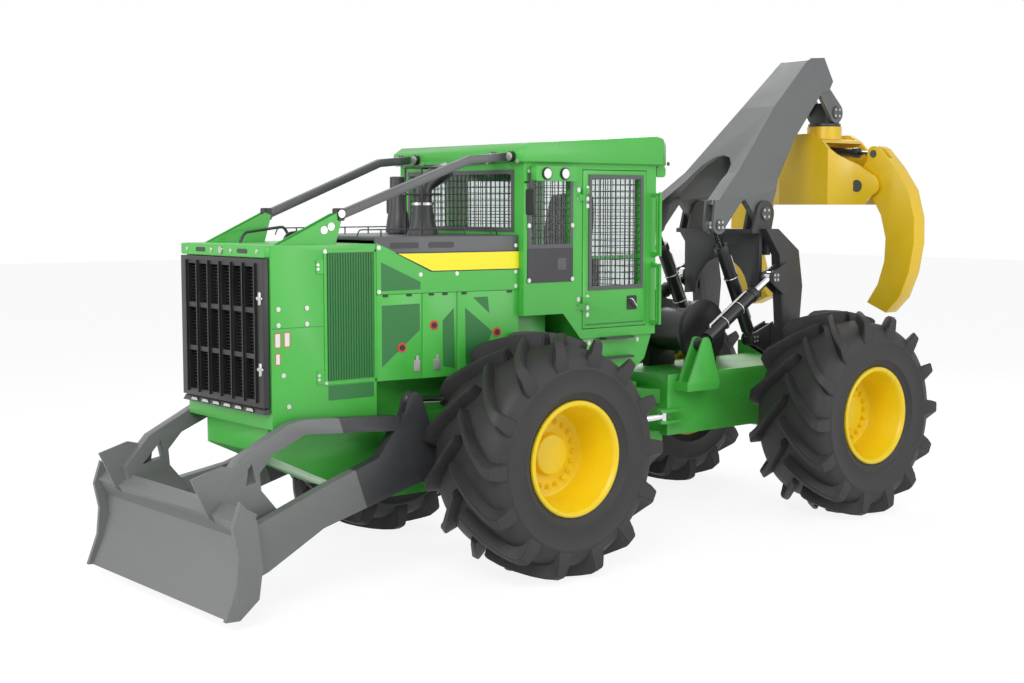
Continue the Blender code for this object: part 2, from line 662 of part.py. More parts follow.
REAR_NOSE = 2.02
REAR_TAIL = 4.15
REAR_LOW = 0.77
DECK = 1.30
rear_outline = [
    (REAR_NOSE, REAR_LOW),
    (REAR_TAIL, REAR_LOW),
    (REAR_TAIL, DECK),
    (REAR_NOSE, DECK),
]
rear_frame = plate("rear_frame", "X", rear_outline, (FRAME_HALF - FRAME_WALL, FRAME_HALF), GREEN)
weld_on(rear_frame, plate("rear_side_right", "X", rear_outline, (-FRAME_HALF, -FRAME_HALF + FRAME_WALL)))
for name, x, y, z in (
    ("rear_nose", INSIDE, (REAR_NOSE + 0.002, REAR_NOSE + 0.05), (REAR_LOW + 0.002, DECK - 0.002)),
    ("rear_deck", INSIDE, (REAR_NOSE + 0.002, REAR_TAIL - 0.002), (DECK - 0.04, DECK - 0.002)),
    ("rear_wall", INSIDE, (REAR_TAIL - 0.05, REAR_TAIL - 0.004), (REAR_LOW + 0.002, DECK - 0.002)),
    ("butt_plate", (-0.62, 0.62), (REAR_TAIL - 0.03, REAR_TAIL + 0.01), (0.62, 1.42)),
):
    weld_on(rear_frame, box(name, x, y, z))
cut(rear_frame, bar("rear_axle_seat", (-0.5, WHEELBASE, TYRE_R), (0.5, WHEELBASE, TYRE_R), ARM_R + GAP,
                    sides=20))

# Articulation tongues between the front frame's plates, with a pin into each.
for k, (low, high) in enumerate(((YOKE_LEVELS[0][1] + 0.001, 0.80), (1.04, YOKE_LEVELS[1][0] - 0.001))):
    outline = [(0.36, REAR_NOSE + 0.02), (0.19, PIVOT_Y + 0.02)]
    outline += arc((0, PIVOT_Y), 0.17, 0, -90, 5)
    weld_on(rear_frame, plate(f"rear_tongue_{k}", "Z", mirrored(outline), (low, high)))
pin_low, pin_high = YOKE_LEVELS[0][0] - 0.01, YOKE_LEVELS[1][1] + 0.01
weld_on(rear_frame, bar("articulation_pin_low", (0, PIVOT_Y, pin_low), (0, PIVOT_Y, 0.79), PIN_R, sides=20))
weld_on(rear_frame, bar("articulation_pin_high", (0, PIVOT_Y, 1.05), (0, PIVOT_Y, pin_high), PIN_R, sides=20))
cut(front_frame, bar("articulation_bore", (0, PIVOT_Y, 0.5), (0, PIVOT_Y, 1.3), PIN_R + 2 * RUN, sides=20))

HORN_X, HORN_Y = 0.48, 0.13  # steering cylinder's rear eye, from the pivot
for side_name, side in SIDES:
    for level, low in (("upper", STEER_Z + 0.0355), ("lower", STEER_Z - 0.0605)):
        y = PIVOT_Y + HORN_Y
        outline = [(0.33, REAR_NOSE + 0.02), (HORN_X - 0.05, y - 0.03), (HORN_X - 0.02, y - 0.055)]
        outline += [(HORN_X + 0.03, y - 0.055), (HORN_X + 0.06, y - 0.01)]
        outline += [(HORN_X + 0.04, REAR_NOSE + 0.10), (0.42, REAR_NOSE + 0.10)]
        outline = [(side * u, v) for u, v in outline]
        weld_on(rear_frame, plate(f"horn_{level}_{side_name}", "Z", outline, (low, low + 0.025)))

for side_name, side in SIDES:
    front = (side * STEER_X, STEER_FRONT_Y, STEER_Z)
    rear = (side * HORN_X, PIVOT_Y + HORN_Y, STEER_Z)
    cylinder(f"steering_{side_name}", front, rear, (0, 0, 1), 0.99, 1.70, 0.045, 0.024, 0.042, 0.07,
             (BLACK, STEEL))

# Arch cylinder lugs on the deck, outside the side plates, and the arch's pivot towers.
ARCH_CYL_X = 0.54
ARCH_BASE = (2.33, 1.56)
ARCH_EYE = (3.24, 2.12)
for side_name, side in SIDES:
    for part, inner, outer in (("inner", 0.465, 0.4995), ("outer", 0.5805, 0.60)):
        lug = [(2.10, 1.20), (2.28, 1.58)] + arc(ARCH_BASE, 0.065, 120, 20, 4) + [(2.52, 1.20)]
        weld_on(rear_frame, plate(f"arch_lug_{part}_{side_name}", "X", lug, span(side, inner, outer)))
    weld_on(rear_frame, box(f"lug_shelf_{side_name}", span(side, FRAME_HALF - 0.01, 0.602),
                            (2.10, 2.50), (1.16, 1.24)))
    tower = [(ARCH_PIVOT[0] - 0.22, DECK - 0.03), (ARCH_PIVOT[0] - 0.22, 1.20), (ARCH_PIVOT[0] + 0.22, 1.20),
             (ARCH_PIVOT[0] + 0.22, DECK - 0.03)]
    pin = bar(f"arch_trunnion_{side_name}", (side * (FRAME_HALF - 0.02), *ARCH_PIVOT),
              (side * 0.585, *ARCH_PIVOT), 0.06)
    weld_on(rear_frame, pin)

# Winch between the lugs, with its drum across the machine.
winch = bar("winch", (-0.26, 2.62, 1.64), (0.26, 2.62, 1.64), 0.20, BLACK, (0, 2.62, 1.64), 24)
for side_name, side in SIDES:
    weld_on(winch, bar(f"winch_flange_{side_name}", (side * 0.25, 2.62, 1.64), (side * 0.30, 2.62, 1.64),
                       0.29, sides=24))
    weld_on(winch, box(f"winch_foot_{side_name}", span(side, 0.22, 0.30), (2.45, 2.79),
                       (DECK - 0.002 + GAP, 1.50)))

# ---- Arch ------------------------------------------------------------------------------------

LEG_IN, LEG_OUT = 0.455, 0.555
arch_at = (0, *ARCH_PIVOT)
leg = [
    (3.16, 2.56),
    (3.33, 2.56),
    (3.62, 2.36),
    (3.68, 2.03),
    (3.64, 1.62),
    (3.68, 1.30),
]
leg += arc(ARCH_PIVOT, 0.12, 20, -160, 6)
leg += [(3.39, 1.42), (3.40, 1.70), (3.37, 2.05), (3.35, 2.32)]
arch = plate("arch", "X", leg, (LEG_IN, LEG_OUT), DARK, arch_at)
weld_on(arch, plate("arch_leg_right", "X", leg, (-LEG_OUT, -LEG_IN)))
beam = [(LEG_IN + 0.01, 2.545), (LEG_IN + 0.01, 1.94)]
beam += arc((0, 1.95), 0.34, 0, 90, 6)
weld_on(arch, plate("arch_front", "Y", mirrored(beam), (3.17, 3.21)))
arch.modifiers["arch_front"].solver = "MANIFOLD"  # EXACT leaves this joint open
for name, y, z in (
    ("arch_cap", (3.06, 3.33), (2.52, 2.558)),
    ("arch_back", (3.27, 3.31), (2.32, 2.54)),
):
    weld_on(arch, box(name, (-LEG_IN - 0.02, LEG_IN + 0.02), y, z))
cut(arch, bar("arch_bores", (-0.7, *ARCH_PIVOT), (0.7, *ARCH_PIVOT), 0.06 + 2 * RUN))

BOOM_LUGS = ((0.335, 0.365), (0.4352, 0.465))
BOOM_LEG = (0.3655, 0.4347)  # the boom's tongue between the arch's lugs
for side_name, side in SIDES:
    for k, (inner, outer) in enumerate(BOOM_LUGS):
        lug = [(3.08, 2.53), (3.33, 2.53)] + arc(BOOM_PIVOT, 0.12, -10, 170, 8)
        weld_on(arch, plate(f"boom_lug_{side_name}_{k}", "X", lug, span(side, inner, outer)))
    weld_on(arch, bar(f"boom_pin_{side_name}", (side * 0.34, *BOOM_PIVOT), (side * 0.46, *BOOM_PIVOT), 0.045))
    for k, (inner, outer) in enumerate(((0.48, 0.4995), (0.5805, 0.60))):
        lug = [(3.36, 1.96), (3.40, 2.26)] + arc(ARCH_EYE, 0.065, 80, 240, 6)
        weld_on(arch, plate(f"arch_eye_lug_{side_name}_{k}", "X", lug, span(side, inner, outer)))
    weld_on(arch, box(f"arch_eye_web_{side_name}", span(side, LEG_OUT - 0.01, 0.599), (3.36, 3.42), (1.98, 2.24)))

ARCH_SHORT, ARCH_LONG = 0.90, 1.36
for side_name, side in SIDES:
    x = side * ARCH_CYL_X
    cylinder(f"arch_{side_name}", (x, *ARCH_BASE), (x, *ARCH_EYE), (1, 0, 0), ARCH_SHORT, ARCH_LONG,
             0.058, 0.032, 0.058, 0.08, (BLACK, STEEL))

# ---- Boom ------------------------------------------------------------------------------------

BOOM_EYE = (2.66, 2.60)
BOOM_BASE = (3.17, 1.55)
BOOM_CYL_X = 0.375
boom_at = (0, *BOOM_PIVOT)
# Sections of the hollow boom from its base to its tip: half width, then front and rear (y, z).
BOOM_SECTIONS = (
    (0.430, (2.62, 2.78), (3.42, 2.86)),
    (0.330, (3.02, 3.08), (3.58, 3.02)),
    (0.205, (3.66, 3.70), (3.97, 3.42)),
    (0.165, (4.18, 4.16), (4.42, 3.88)),
)


def boom_ring(half, front, rear, inset_by=0.0):
    return [
        (half - inset_by, *front),
        (-half + inset_by, *front),
        (-half + inset_by, *rear),
        (half - inset_by, *rear),
    ]


boom = loft("boom", [boom_ring(*section) for section in BOOM_SECTIONS], GREY, boom_at)
tip = [(4.17, 4.15), (4.24, 4.185), (4.44, 4.20), (4.58, 3.98), (4.52, 3.88), (4.40, 3.87)]
weld_on(boom, plate("boom_tip", "X", tip, (-0.160, 0.160)))
inner_sections = (
    (0.395, (2.58, 2.60), (3.60, 2.74)),
    (0.300, (3.06, 3.06), (3.54, 3.02)),
    (0.215, (3.36, 3.34), (3.72, 3.20)),
)
cut(boom, loft("boom_hollow", [boom_ring(*section) for section in inner_sections]))
archway = [(-0.33, 2.2), (-0.30, 2.75), (-0.22, 3.00)] + arc((0, 3.02), 0.22, 170, 10, 6) + [
    (0.22, 3.00), (0.30, 2.75), (0.33, 2.2)]
cut(boom, plate("boom_archway", "Y", archway, (2.2, 4.2)))
for side_name, side in SIDES:
    eye_outline = [(2.60, 2.82)] + arc(BOOM_EYE, 0.085, 160, 350, 6) + [(2.98, 2.84)]
    for k, (inner, outer) in enumerate(((0.310, 0.3345), (0.4155, 0.440))):
        weld_on(boom, plate(f"boom_eye_{side_name}_{k}", "X", eye_outline, span(side, inner, outer)))
    foot = [(3.00, 2.83)] + arc(BOOM_PIVOT, 0.10, 200, 350, 6) + [(3.42, 2.90)]
    weld_on(boom, plate(f"boom_foot_{side_name}", "X", foot, span(side, *BOOM_LEG)))
    tip_lug = [(4.36, 3.90), (4.54, 3.92)] + arc(SWING_PIVOT, 0.10, 40, -130, 8)
    weld_on(boom, plate(f"tip_lug_{side_name}", "X", tip_lug, span(side, 0.105, 0.145)))
    weld_on(boom, bar(f"tip_pin_{side_name}", (side * 0.06, *SWING_PIVOT), (side * 0.14, *SWING_PIVOT), 0.04))
cut(boom, *[
    bar(f"boom_foot_bore_{side_name}", (side * 0.30, *BOOM_PIVOT), (side * 0.50, *BOOM_PIVOT), 0.045 + 2 * RUN)
    for side_name, side in SIDES
])

BOOM_SHORT, BOOM_LONG = 1.04, 1.56
for side_name, side in SIDES:
    x = side * BOOM_CYL_X
    for k, (inner, outer) in enumerate(((0.3155, 0.3345), (0.4155, 0.4345))):
        lug = [(3.40, 1.38), (3.42, 1.70)] + arc(BOOM_BASE, 0.065, 80, 280, 6)
        weld_on(arch, plate(f"boom_base_lug_{side_name}_{k}", "X", lug, span(side, inner, outer)))
    weld_on(arch, box(f"boom_base_web_{side_name}", span(side, 0.316, LEG_IN + 0.01), (3.395, 3.44), (1.40, 1.68)))
    cylinder(f"boom_{side_name}", (x, *BOOM_BASE), (x, *BOOM_EYE), (1, 0, 0), BOOM_SHORT, BOOM_LONG,
             0.058, 0.034, 0.058, 0.08, (BLACK, STEEL))

# ---- Crosshead, rotator, grapple and tongs ---------------------------------------------------

swing_at = (0, *SWING_PIVOT)
sy, sz = SWING_PIVOT
crosshead = box("crosshead", (-0.1045, 0.1045), (sy - 0.10, sy + 0.10), (3.565, 3.775), DARK, swing_at)
cut(crosshead, bar("crosshead_bore", (-0.2, sy, sz), (0.2, sy, sz), 0.04 + 2 * RUN))
weld_on(crosshead, bar("crosshead_disc", (0, sy, 3.545), (0, sy, 3.575), 0.16, sides=24))
ROTOR_TOP = 3.545 - 0.0005
grapple_at = (0, sy, ROTOR_TOP)

# The grapple body: two plates that close in towards the tongs, under a deck and the rotator.
BODY_LOW, BODY_TOP = 2.78, 3.42
PLATE_WALL = 0.035
BODY_PLAN = ((0.30, 0.315), (0.50, 0.165), (0.76, 0.135))  # x, distance of the face from the middle
CENTRE_PIN = (0.0, 3.31)  # x, z of the tong cylinders' base pins
TONG_EYE_WIDTH = 0.06
TONG_LANE = TONG_EYE_WIDTH / 2 + 0.0035  # the two tong cylinders lie side by side, this far from the middle
TONG_PIN_R = 0.04


def body_plan(shrink=0.0, longer=0.0):
    """The body's plan outline, its faces moved in and its ends moved out."""
    right = [(x, d - shrink) for x, d in BODY_PLAN]
    right[-1] = (right[-1][0] + longer, right[-1][1])
    near = [(x, -d) for x, d in right]
    half = near + right[::-1]
    return [(x, sy + d) for x, d in half] + [(-x, sy + d) for x, d in half[::-1]]


side_view = [(0.10, 3.47), (0.22, 3.40), (0.36, 3.26), (0.72, 3.05)]
side_view += arc((0.67, 2.96), 0.09, 40, -80, 5) + [(0.60, BODY_LOW)]
grapple = plate("grapple_body", "Y", mirrored(side_view), (sy - 0.32, sy + 0.32), YELLOW, grapple_at)
outside = plate("grapple_outside", "Z", [(-1.2, sy - 1), (1.2, sy - 1), (1.2, sy + 1), (-1.2, sy + 1)],
                (2.6, 3.6), holes=[body_plan()])
hollow = plate("grapple_hollow", "Z", body_plan(PLATE_WALL, 0.2), (2.6, 3.38))
above = box("grapple_above", (-0.9, 0.9), (sy - 0.27, sy + 0.27), (BODY_TOP, 3.6))
sides_open = [
    box(f"grapple_side_gap_{side_name}", span(side, 0.26, 0.9), (sy - 0.10, sy + 0.10), (2.6, 3.6))
    for side_name, side in SIDES
]
cut(grapple, outside, hollow, above, *sides_open)
weld_on(grapple, bar("rotator", (0, sy, 3.39), (0, sy, ROTOR_TOP), 0.17, sides=24))
for end_name, way in (("front", -1), ("rear", 1)):
    weld_on(grapple, bar(f"centre_pin_{end_name}", (0, sy + way * 0.30, CENTRE_PIN[1]),
                         (0, sy + way * 0.067, CENTRE_PIN[1]), 0.03))
TONG_HALF = 0.085
for side_name, side in SIDES:
    x, z = TONG_PIVOT
    weld_on(grapple, bar(f"tong_pin_{side_name}", (side * x, sy - 0.15, z), (side * x, sy + 0.15, z),
                         TONG_PIN_R, sides=32))

# Tongs: a curved arm that hangs from its pivot, with the cylinder's eye above it.
TONG_EYE = (0.66, 3.265)  # x, z
TONG_OUTER = ((0.735, 3.31), (0.90, 3.14), (1.06, 2.92), (1.135, 2.66), (1.14, 2.42), (1.09, 2.14),
              (0.99, 1.90), (0.84, 1.75))
TONG_INNER = ((0.62, 1.84), (0.74, 2.02), (0.81, 2.24), (0.82, 2.46), (0.76, 2.68), (0.655, 2.85))
for side_name, side in SIDES:
    x, z = TONG_PIVOT
    lane = sy - side * TONG_LANE
    slot_half = TONG_EYE_WIDTH / 2 + GAP
    outline = list(TONG_OUTER + TONG_INNER)
    outline += arc(TONG_PIVOT, 0.105, -60, -200, 5) + [(0.585, 3.20)]
    outline += arc(TONG_EYE, 0.075, 200, 80, 4)
    outline = [(side * u, v) for u, v in outline]
    tong = plate(f"tong_{side_name}", "Y", outline, (sy - TONG_HALF, sy + TONG_HALF), YELLOW,
                 (side * x, sy, z))
    cut(
        tong,
        bar(f"tong_bore_{side_name}", (side * x, sy - 0.2, z), (side * x, sy + 0.2, z),
            TONG_PIN_R + RUN, sides=32),
        box(f"tong_slot_{side_name}", span(side, 0.50, 0.82), (lane - slot_half, lane + slot_half), (3.11, 3.40)),
    )
    cylinder(f"tong_{side_name}", (0, lane, CENTRE_PIN[1]), (side * TONG_EYE[0], lane, TONG_EYE[1]),
             (0, 1, 0), 0.525, 0.81, 0.042, 0.022, 0.045, TONG_EYE_WIDTH, (BLACK, STEEL))

# ---- Blade -----------------------------------------------------------------------------------

BLADE_HALF = 1.05
blade_at = (0, *BLADE_PIVOT)
# The end plates' outline, front edge first from the cutting edge up.
end_outline = [
    (-2.684, 0.080),
    (-2.600, 0.300),
    (-2.580, 0.500),
    (-2.618, 0.690),
    (-2.563, 0.860),
    (-2.440, 0.725),
    (-2.400, 0.404),
    (-2.431, 0.193),
    (-2.577, 0.075),
]
BLADE_CURVE = ((-2.650, 0.080), (-2.560, 0.280), (-2.515, 0.440), (-2.515, 0.600), (-2.560, 0.730))
BLADE_WALL = 0.035
board = list(BLADE_CURVE) + [(y + BLADE_WALL, z) for y, z in reversed(BLADE_CURVE)]
blade = plate("blade", "X", board, (-BLADE_HALF, BLADE_HALF), GREY, blade_at)
lip = [(-2.585, 0.72), (-2.50, 0.80), (-2.43, 0.76), (-2.50, 0.60), (-2.52, 0.60)]
weld_on(blade, plate("blade_lip", "X", lip, (-BLADE_HALF, BLADE_HALF)))
for side_name, side in SIDES:
    weld_on(blade, plate(f"blade_end_{side_name}", "X", end_outline, span(side, BLADE_HALF - 0.025, BLADE_HALF + 0.01)))
    ear = [(-2.728, 0.974), (-2.60, 0.70), (-2.50, 0.62), (-2.36, 0.62), (-2.30, 0.99), (-2.50, 1.04)]
    weld_on(blade, plate(f"blade_ear_{side_name}", "X", ear, span(side, BLADE_OUT - 0.02, BLADE_OUT)))
    # The push arm runs back from the blade, rising, and turns in past the front tyre.
    arm_sections = (  # y, low z, high z, outer |x|
        (-2.50, 0.24, 0.60, 0.90),
        (-2.24, 0.31, 0.67, 0.86),
        (-1.70, 0.51, 0.80, BLADE_OUT),
        (-0.72, 0.775, 1.13, BLADE_OUT),
    )
    width = BLADE_OUT - BLADE_IN
    arm = loft(f"push_arm_{side_name}", [
        [(side * out, y, low), (side * (out - width), y, low), (side * (out - width), y, high), (side * out, y, high)]
        for y, low, high, out in arm_sections
    ])
    rear = [(-0.95, 0.72), (-0.62, 0.78)] + arc(BLADE_PIVOT, 0.14, -90, 80, 6) + [(-0.80, 1.10)]
    rear_end = plate(f"arm_end_{side_name}", "X", rear, span(side, BLADE_IN, BLADE_OUT))
    brace = [
        (-2.52, 0.66), (-2.56, 0.86), (-2.36, 1.08), (-1.98, 1.27), (-1.86, 1.295), (-1.04, 1.25), (-1.04, 1.14),
        (-1.84, 1.19), (-2.10, 1.08), (-2.21, 0.96), (-2.20, 0.84), (-2.05, 0.66), (-2.10, 0.60),
    ]
    strap = plate(f"brace_{side_name}", "X", brace, span(side, BLADE_IN, BLADE_OUT),
                  holes=[[(-2.42, 0.87), (-2.24, 0.90), (-2.27, 1.03)]])
    tower = [(-1.35, 0.80), (-1.00, 1.25)] + arc((-0.90, 1.35), 0.065, 150, 20, 4) + [(-0.72, 1.05), (-0.80, 0.85)]
    lug = plate(f"blade_tower_{side_name}", "X", tower, span(side, BLADE_IN, BLADE_OUT))
    weld_on(blade, arm, rear_end, strap, lug)
    cut(
        blade,
        bar(f"arm_bore_{side_name}", (side * 0.55, *BLADE_PIVOT), (side * 0.80, *BLADE_PIVOT), 0.055 + 2 * RUN),
        box(f"lift_fork_{side_name}", span(side, FORK_X - FORK_HALF, FORK_X + FORK_HALF),
            (-1.00, -0.60), (1.262, 1.45)),
    )
    x = side * FORK_X
    for k, (inner, outer) in enumerate(((BLADE_IN, FORK_X - FORK_HALF), (FORK_X + FORK_HALF, BLADE_OUT))):
        ear = [(-0.08, 1.20), (-0.045, 1.33), (-0.02, 1.355), (0.03, 1.355), (0.10, 1.20)]
        weld_on(front_frame, plate(f"lift_ear_{side_name}_{k}", "X", ear, span(side, inner, outer)))
    weld_on(front_frame, box(f"lift_shelf_{side_name}", span(side, FRAME_HALF - 0.01, BLADE_OUT),
                            (-0.10, 0.10), (1.165, 1.205)))
    cylinder(f"blade_{side_name}", (x, 0.0, 1.30), (x, -0.90, 1.35), (1, 0, 0), 0.68, 0.97,
             0.046, 0.026, 0.045, 0.06, (BLACK, STEEL))
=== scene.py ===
"""Grapple skidder, finished: paint, rubber, glass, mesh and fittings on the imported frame.

Sections follow the machine as it is put together, from the studio and the painted steel to the
wheels, hood, cab, blade, arch, boom and grapple.
"""
import json
from math import cos, hypot, pi, radians, sin

import bmesh
import bpy
from mathutils import Matrix, Vector


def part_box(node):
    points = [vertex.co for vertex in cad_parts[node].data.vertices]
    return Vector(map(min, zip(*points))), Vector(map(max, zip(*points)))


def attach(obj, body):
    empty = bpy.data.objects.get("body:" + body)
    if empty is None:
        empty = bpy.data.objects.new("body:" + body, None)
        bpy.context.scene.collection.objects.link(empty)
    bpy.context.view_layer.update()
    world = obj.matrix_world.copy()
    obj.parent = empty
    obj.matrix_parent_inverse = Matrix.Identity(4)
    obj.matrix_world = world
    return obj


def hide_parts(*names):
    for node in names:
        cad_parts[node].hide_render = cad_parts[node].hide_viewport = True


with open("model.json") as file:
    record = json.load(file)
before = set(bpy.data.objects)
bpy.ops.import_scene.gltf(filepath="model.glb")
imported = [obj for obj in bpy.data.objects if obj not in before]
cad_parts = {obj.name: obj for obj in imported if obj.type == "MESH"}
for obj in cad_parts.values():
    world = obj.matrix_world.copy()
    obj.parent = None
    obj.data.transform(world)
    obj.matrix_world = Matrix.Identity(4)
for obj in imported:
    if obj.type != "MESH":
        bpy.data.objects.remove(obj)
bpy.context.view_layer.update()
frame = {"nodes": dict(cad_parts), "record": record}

# ---- Studio ----------------------------------------------------------------------------------
# A white floor and a white surround that only the camera and reflections see as white, with
# three large soft lamps. The camera stands off the machine's left front corner.

tyre_low, tyre_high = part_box("tyre_front_left")
AXLE = (tyre_low.y + tyre_high.y) / 2  # the front axle: every length place below counts from it


def at(x, y, z):
    """A place of the machine, with y counted from the front axle."""
    return Vector((x, AXLE + y, z))


scene = bpy.context.scene
scene.view_settings.view_transform = "Standard"


def seen_directly(tree):
    """1 for camera, glossy and transmission rays, 0 for the light that falls on the machine."""
    path = tree.nodes.new("ShaderNodeLightPath")
    total = path.outputs["Is Camera Ray"]
    for ray in ("Is Glossy Ray", "Is Transmission Ray"):
        add = tree.nodes.new("ShaderNodeMath")
        add.operation = "MAXIMUM"
        tree.links.new(total, add.inputs[0])
        tree.links.new(path.outputs[ray], add.inputs[1])
        total = add.outputs[0]
    return total


world = bpy.data.worlds.new("studio")
scene.world = world
world.use_nodes = True
tree = world.node_tree
tree.nodes.clear()
ambient = tree.nodes.new("ShaderNodeBackground")
ambient.inputs["Color"].default_value = (0.93, 0.96, 1.0, 1)
ambient.inputs["Strength"].default_value = 0.42
white = tree.nodes.new("ShaderNodeBackground")
white.inputs["Color"].default_value = (1, 1, 1, 1)
mix = tree.nodes.new("ShaderNodeMixShader")
out = tree.nodes.new("ShaderNodeOutputWorld")
tree.links.new(seen_directly(tree), mix.inputs[0])
tree.links.new(ambient.outputs[0], mix.inputs[1])
tree.links.new(white.outputs[0], mix.inputs[2])
tree.links.new(mix.outputs[0], out.inputs[0])

bpy.ops.mesh.primitive_plane_add(size=120, location=(0, 0, 0))
floor = bpy.context.object
floor.name = "studio_floor"
floor_paint = bpy.data.materials.new("studio_floor")
floor_paint.use_nodes = True
tree = floor_paint.node_tree
tree.nodes.clear()
matt = tree.nodes.new("ShaderNodeBsdfDiffuse")
matt.inputs["Color"].default_value = (0.86, 0.86, 0.86, 1)
glow = tree.nodes.new("ShaderNodeEmission")
glow.inputs["Color"].default_value = (1, 1, 1, 1)
glow.inputs["Strength"].default_value = 1.12
part = tree.nodes.new("ShaderNodeMath")
part.operation = "MULTIPLY"
part.inputs[1].default_value = 0.78  # how much of the floor's white is its own
mix = tree.nodes.new("ShaderNodeMixShader")
out = tree.nodes.new("ShaderNodeOutputMaterial")
tree.links.new(seen_directly(tree), part.inputs[0])
tree.links.new(part.outputs[0], mix.inputs[0])
tree.links.new(matt.outputs[0], mix.inputs[1])
tree.links.new(glow.outputs[0], mix.inputs[2])
tree.links.new(mix.outputs[0], out.inputs[0])
floor.data.materials.append(floor_paint)

for name, place, size, power in (
    ("key", (7.0, -9.0, 8.5), 6.0, 780),
    ("fill", (11.0, 4.0, 5.0), 6.0, 330),
    ("front", (-3.0, -12.0, 5.0), 5.0, 330),
    ("rim", (-6.0, 8.0, 9.0), 6.0, 500),
):
    lamp_data = bpy.data.lights.new(name, "AREA")
    lamp_data.size = size
    lamp_data.energy = power
    lamp = bpy.data.objects.new(name, lamp_data)
    scene.collection.objects.link(lamp)
    lamp.location = place
    lamp.rotation_euler = (Vector((0, 0, 1.4)) - Vector(place)).to_track_quat("-Z", "Y").to_euler()

lens = bpy.data.cameras.new("camera")
lens.lens = 52.84
lens.sensor_width = 36
camera = bpy.data.objects.new("camera", lens)
scene.collection.objects.link(camera)
camera.location = at(9.5516, -7.3720, 2.7791)
camera.rotation_euler = (radians(90 - 5.198), 0, radians(50.087))
scene.camera = camera

# ---- Painted steel ---------------------------------------------------------------------------
# Frames, hood, cab, blade, arch and boom are welded plate under satin enamel. Each plate keeps
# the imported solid's shape, with its edges broken by a small round as a grinder leaves them.

body_of_node = {}
for body_name, members in frame["record"]["behaviour"]["bodies"].items():
    for member in members:
        body_of_node[member] = body_name


def enamel(name, colour, rough=0.38, wear=0.10, metal=0.0, grain=0.02, dust=0.12):
    """Sprayed paint: faint orange peel, uneven gloss, and road dust that thins out upwards."""
    material = bpy.data.materials.new(name)
    material.use_nodes = True
    tree = material.node_tree
    shader = tree.nodes["Principled BSDF"]
    shader.inputs["Metallic"].default_value = metal
    shader.inputs["Coat Weight"].default_value = 0.15
    shader.inputs["Coat Roughness"].default_value = 0.2
    place = tree.nodes.new("ShaderNodeTexCoord")
    cloud = tree.nodes.new("ShaderNodeTexNoise")
    cloud.inputs["Scale"].default_value = 3.5
    cloud.inputs["Detail"].default_value = 6
    speck = tree.nodes.new("ShaderNodeTexNoise")
    speck.inputs["Scale"].default_value = 60
    speck.inputs["Detail"].default_value = 4
    peel = tree.nodes.new("ShaderNodeTexNoise")
    peel.inputs["Scale"].default_value = 420
    for texture in (cloud, speck, peel):
        tree.links.new(place.outputs["Object"], texture.inputs["Vector"])
    gloss = tree.nodes.new("ShaderNodeMapRange")
    gloss.inputs["From Min"].default_value = 0.3
    gloss.inputs["From Max"].default_value = 0.7
    gloss.inputs["To Min"].default_value = rough - 0.07
    gloss.inputs["To Max"].default_value = rough + 0.10
    tree.links.new(cloud.outputs["Fac"], gloss.inputs["Value"])
    tree.links.new(gloss.outputs["Result"], shader.inputs["Roughness"])
    tone = tree.nodes.new("ShaderNodeMixRGB")
    tone.inputs["Color1"].default_value = (*[c * (1 - wear) for c in colour], 1)
    tone.inputs["Color2"].default_value = (*[min(1, c * (1 + wear)) for c in colour], 1)
    tree.links.new(cloud.outputs["Fac"], tone.inputs["Fac"])
    split = tree.nodes.new("ShaderNodeSeparateXYZ")
    tree.links.new(place.outputs["Object"], split.inputs[0])
    low = tree.nodes.new("ShaderNodeMapRange")
    low.inputs["From Min"].default_value = 0.1
    low.inputs["From Max"].default_value = 1.5
    low.inputs["To Min"].default_value = dust
    low.inputs["To Max"].default_value = 0.0
    tree.links.new(split.outputs["Z"], low.inputs["Value"])
    patch = tree.nodes.new("ShaderNodeMath")
    patch.operation = "MULTIPLY"
    tree.links.new(low.outputs["Result"], patch.inputs[0])
    tree.links.new(speck.outputs["Fac"], patch.inputs[1])
    dusty = tree.nodes.new("ShaderNodeMixRGB")
    dusty.inputs["Color2"].default_value = (0.30, 0.27, 0.22, 1)
    tree.links.new(patch.outputs[0], dusty.inputs["Fac"])
    tree.links.new(tone.outputs["Color"], dusty.inputs["Color1"])
    tree.links.new(dusty.outputs["Color"], shader.inputs["Base Color"])
    bump = tree.nodes.new("ShaderNodeBump")
    bump.inputs["Strength"].default_value = grain * 4
    bump.inputs["Distance"].default_value = 0.002
    tree.links.new(peel.outputs["Fac"], bump.inputs["Height"])
    tree.links.new(bump.outputs["Normal"], shader.inputs["Normal"])
    return material


GREEN = enamel("green_enamel", (0.064, 0.450, 0.056), 0.34)
DARK_GREEN = enamel("dark_green_enamel", (0.020, 0.170, 0.035), 0.42)
YELLOW = enamel("yellow_enamel", (0.860, 0.560, 0.012), 0.36, 0.06)
RIM_YELLOW = enamel("rim_yellow_enamel", (0.900, 0.640, 0.005), 0.32, 0.05, dust=0.05)
# The blade's grey also carries painted shade on the rear of the push arms, mixed in at the blade section.
BLADE_GREY = enamel("blade_grey_enamel", (0.150, 0.155, 0.155), 0.45, 0.12, grain=0.05)
BOOM_GREY = enamel("boom_grey_enamel", (0.135, 0.143, 0.143), 0.40)
HOOD_GREY = enamel("hood_grey_enamel", (0.085, 0.087, 0.092), 0.42)
CHARCOAL = enamel("charcoal_enamel", (0.030, 0.030, 0.033), 0.45)
BLACK = enamel("black_enamel", (0.012, 0.012, 0.013), 0.42)
CASTING = enamel("painted_casting", (0.040, 0.042, 0.042), 0.60, 0.2, grain=0.15)
CHROME = enamel("rod_chrome", (0.72, 0.73, 0.75), 0.16, 0.03, metal=1.0, grain=0.004, dust=0.0)
STEEL = enamel("bright_zinc", (0.58, 0.58, 0.56), 0.32, 0.10, metal=1.0, dust=0.0)


def smooth_by_angle(mesh, angle=35):
    mesh.shade_smooth()
    mesh.set_sharp_from_angle(angle=radians(angle))


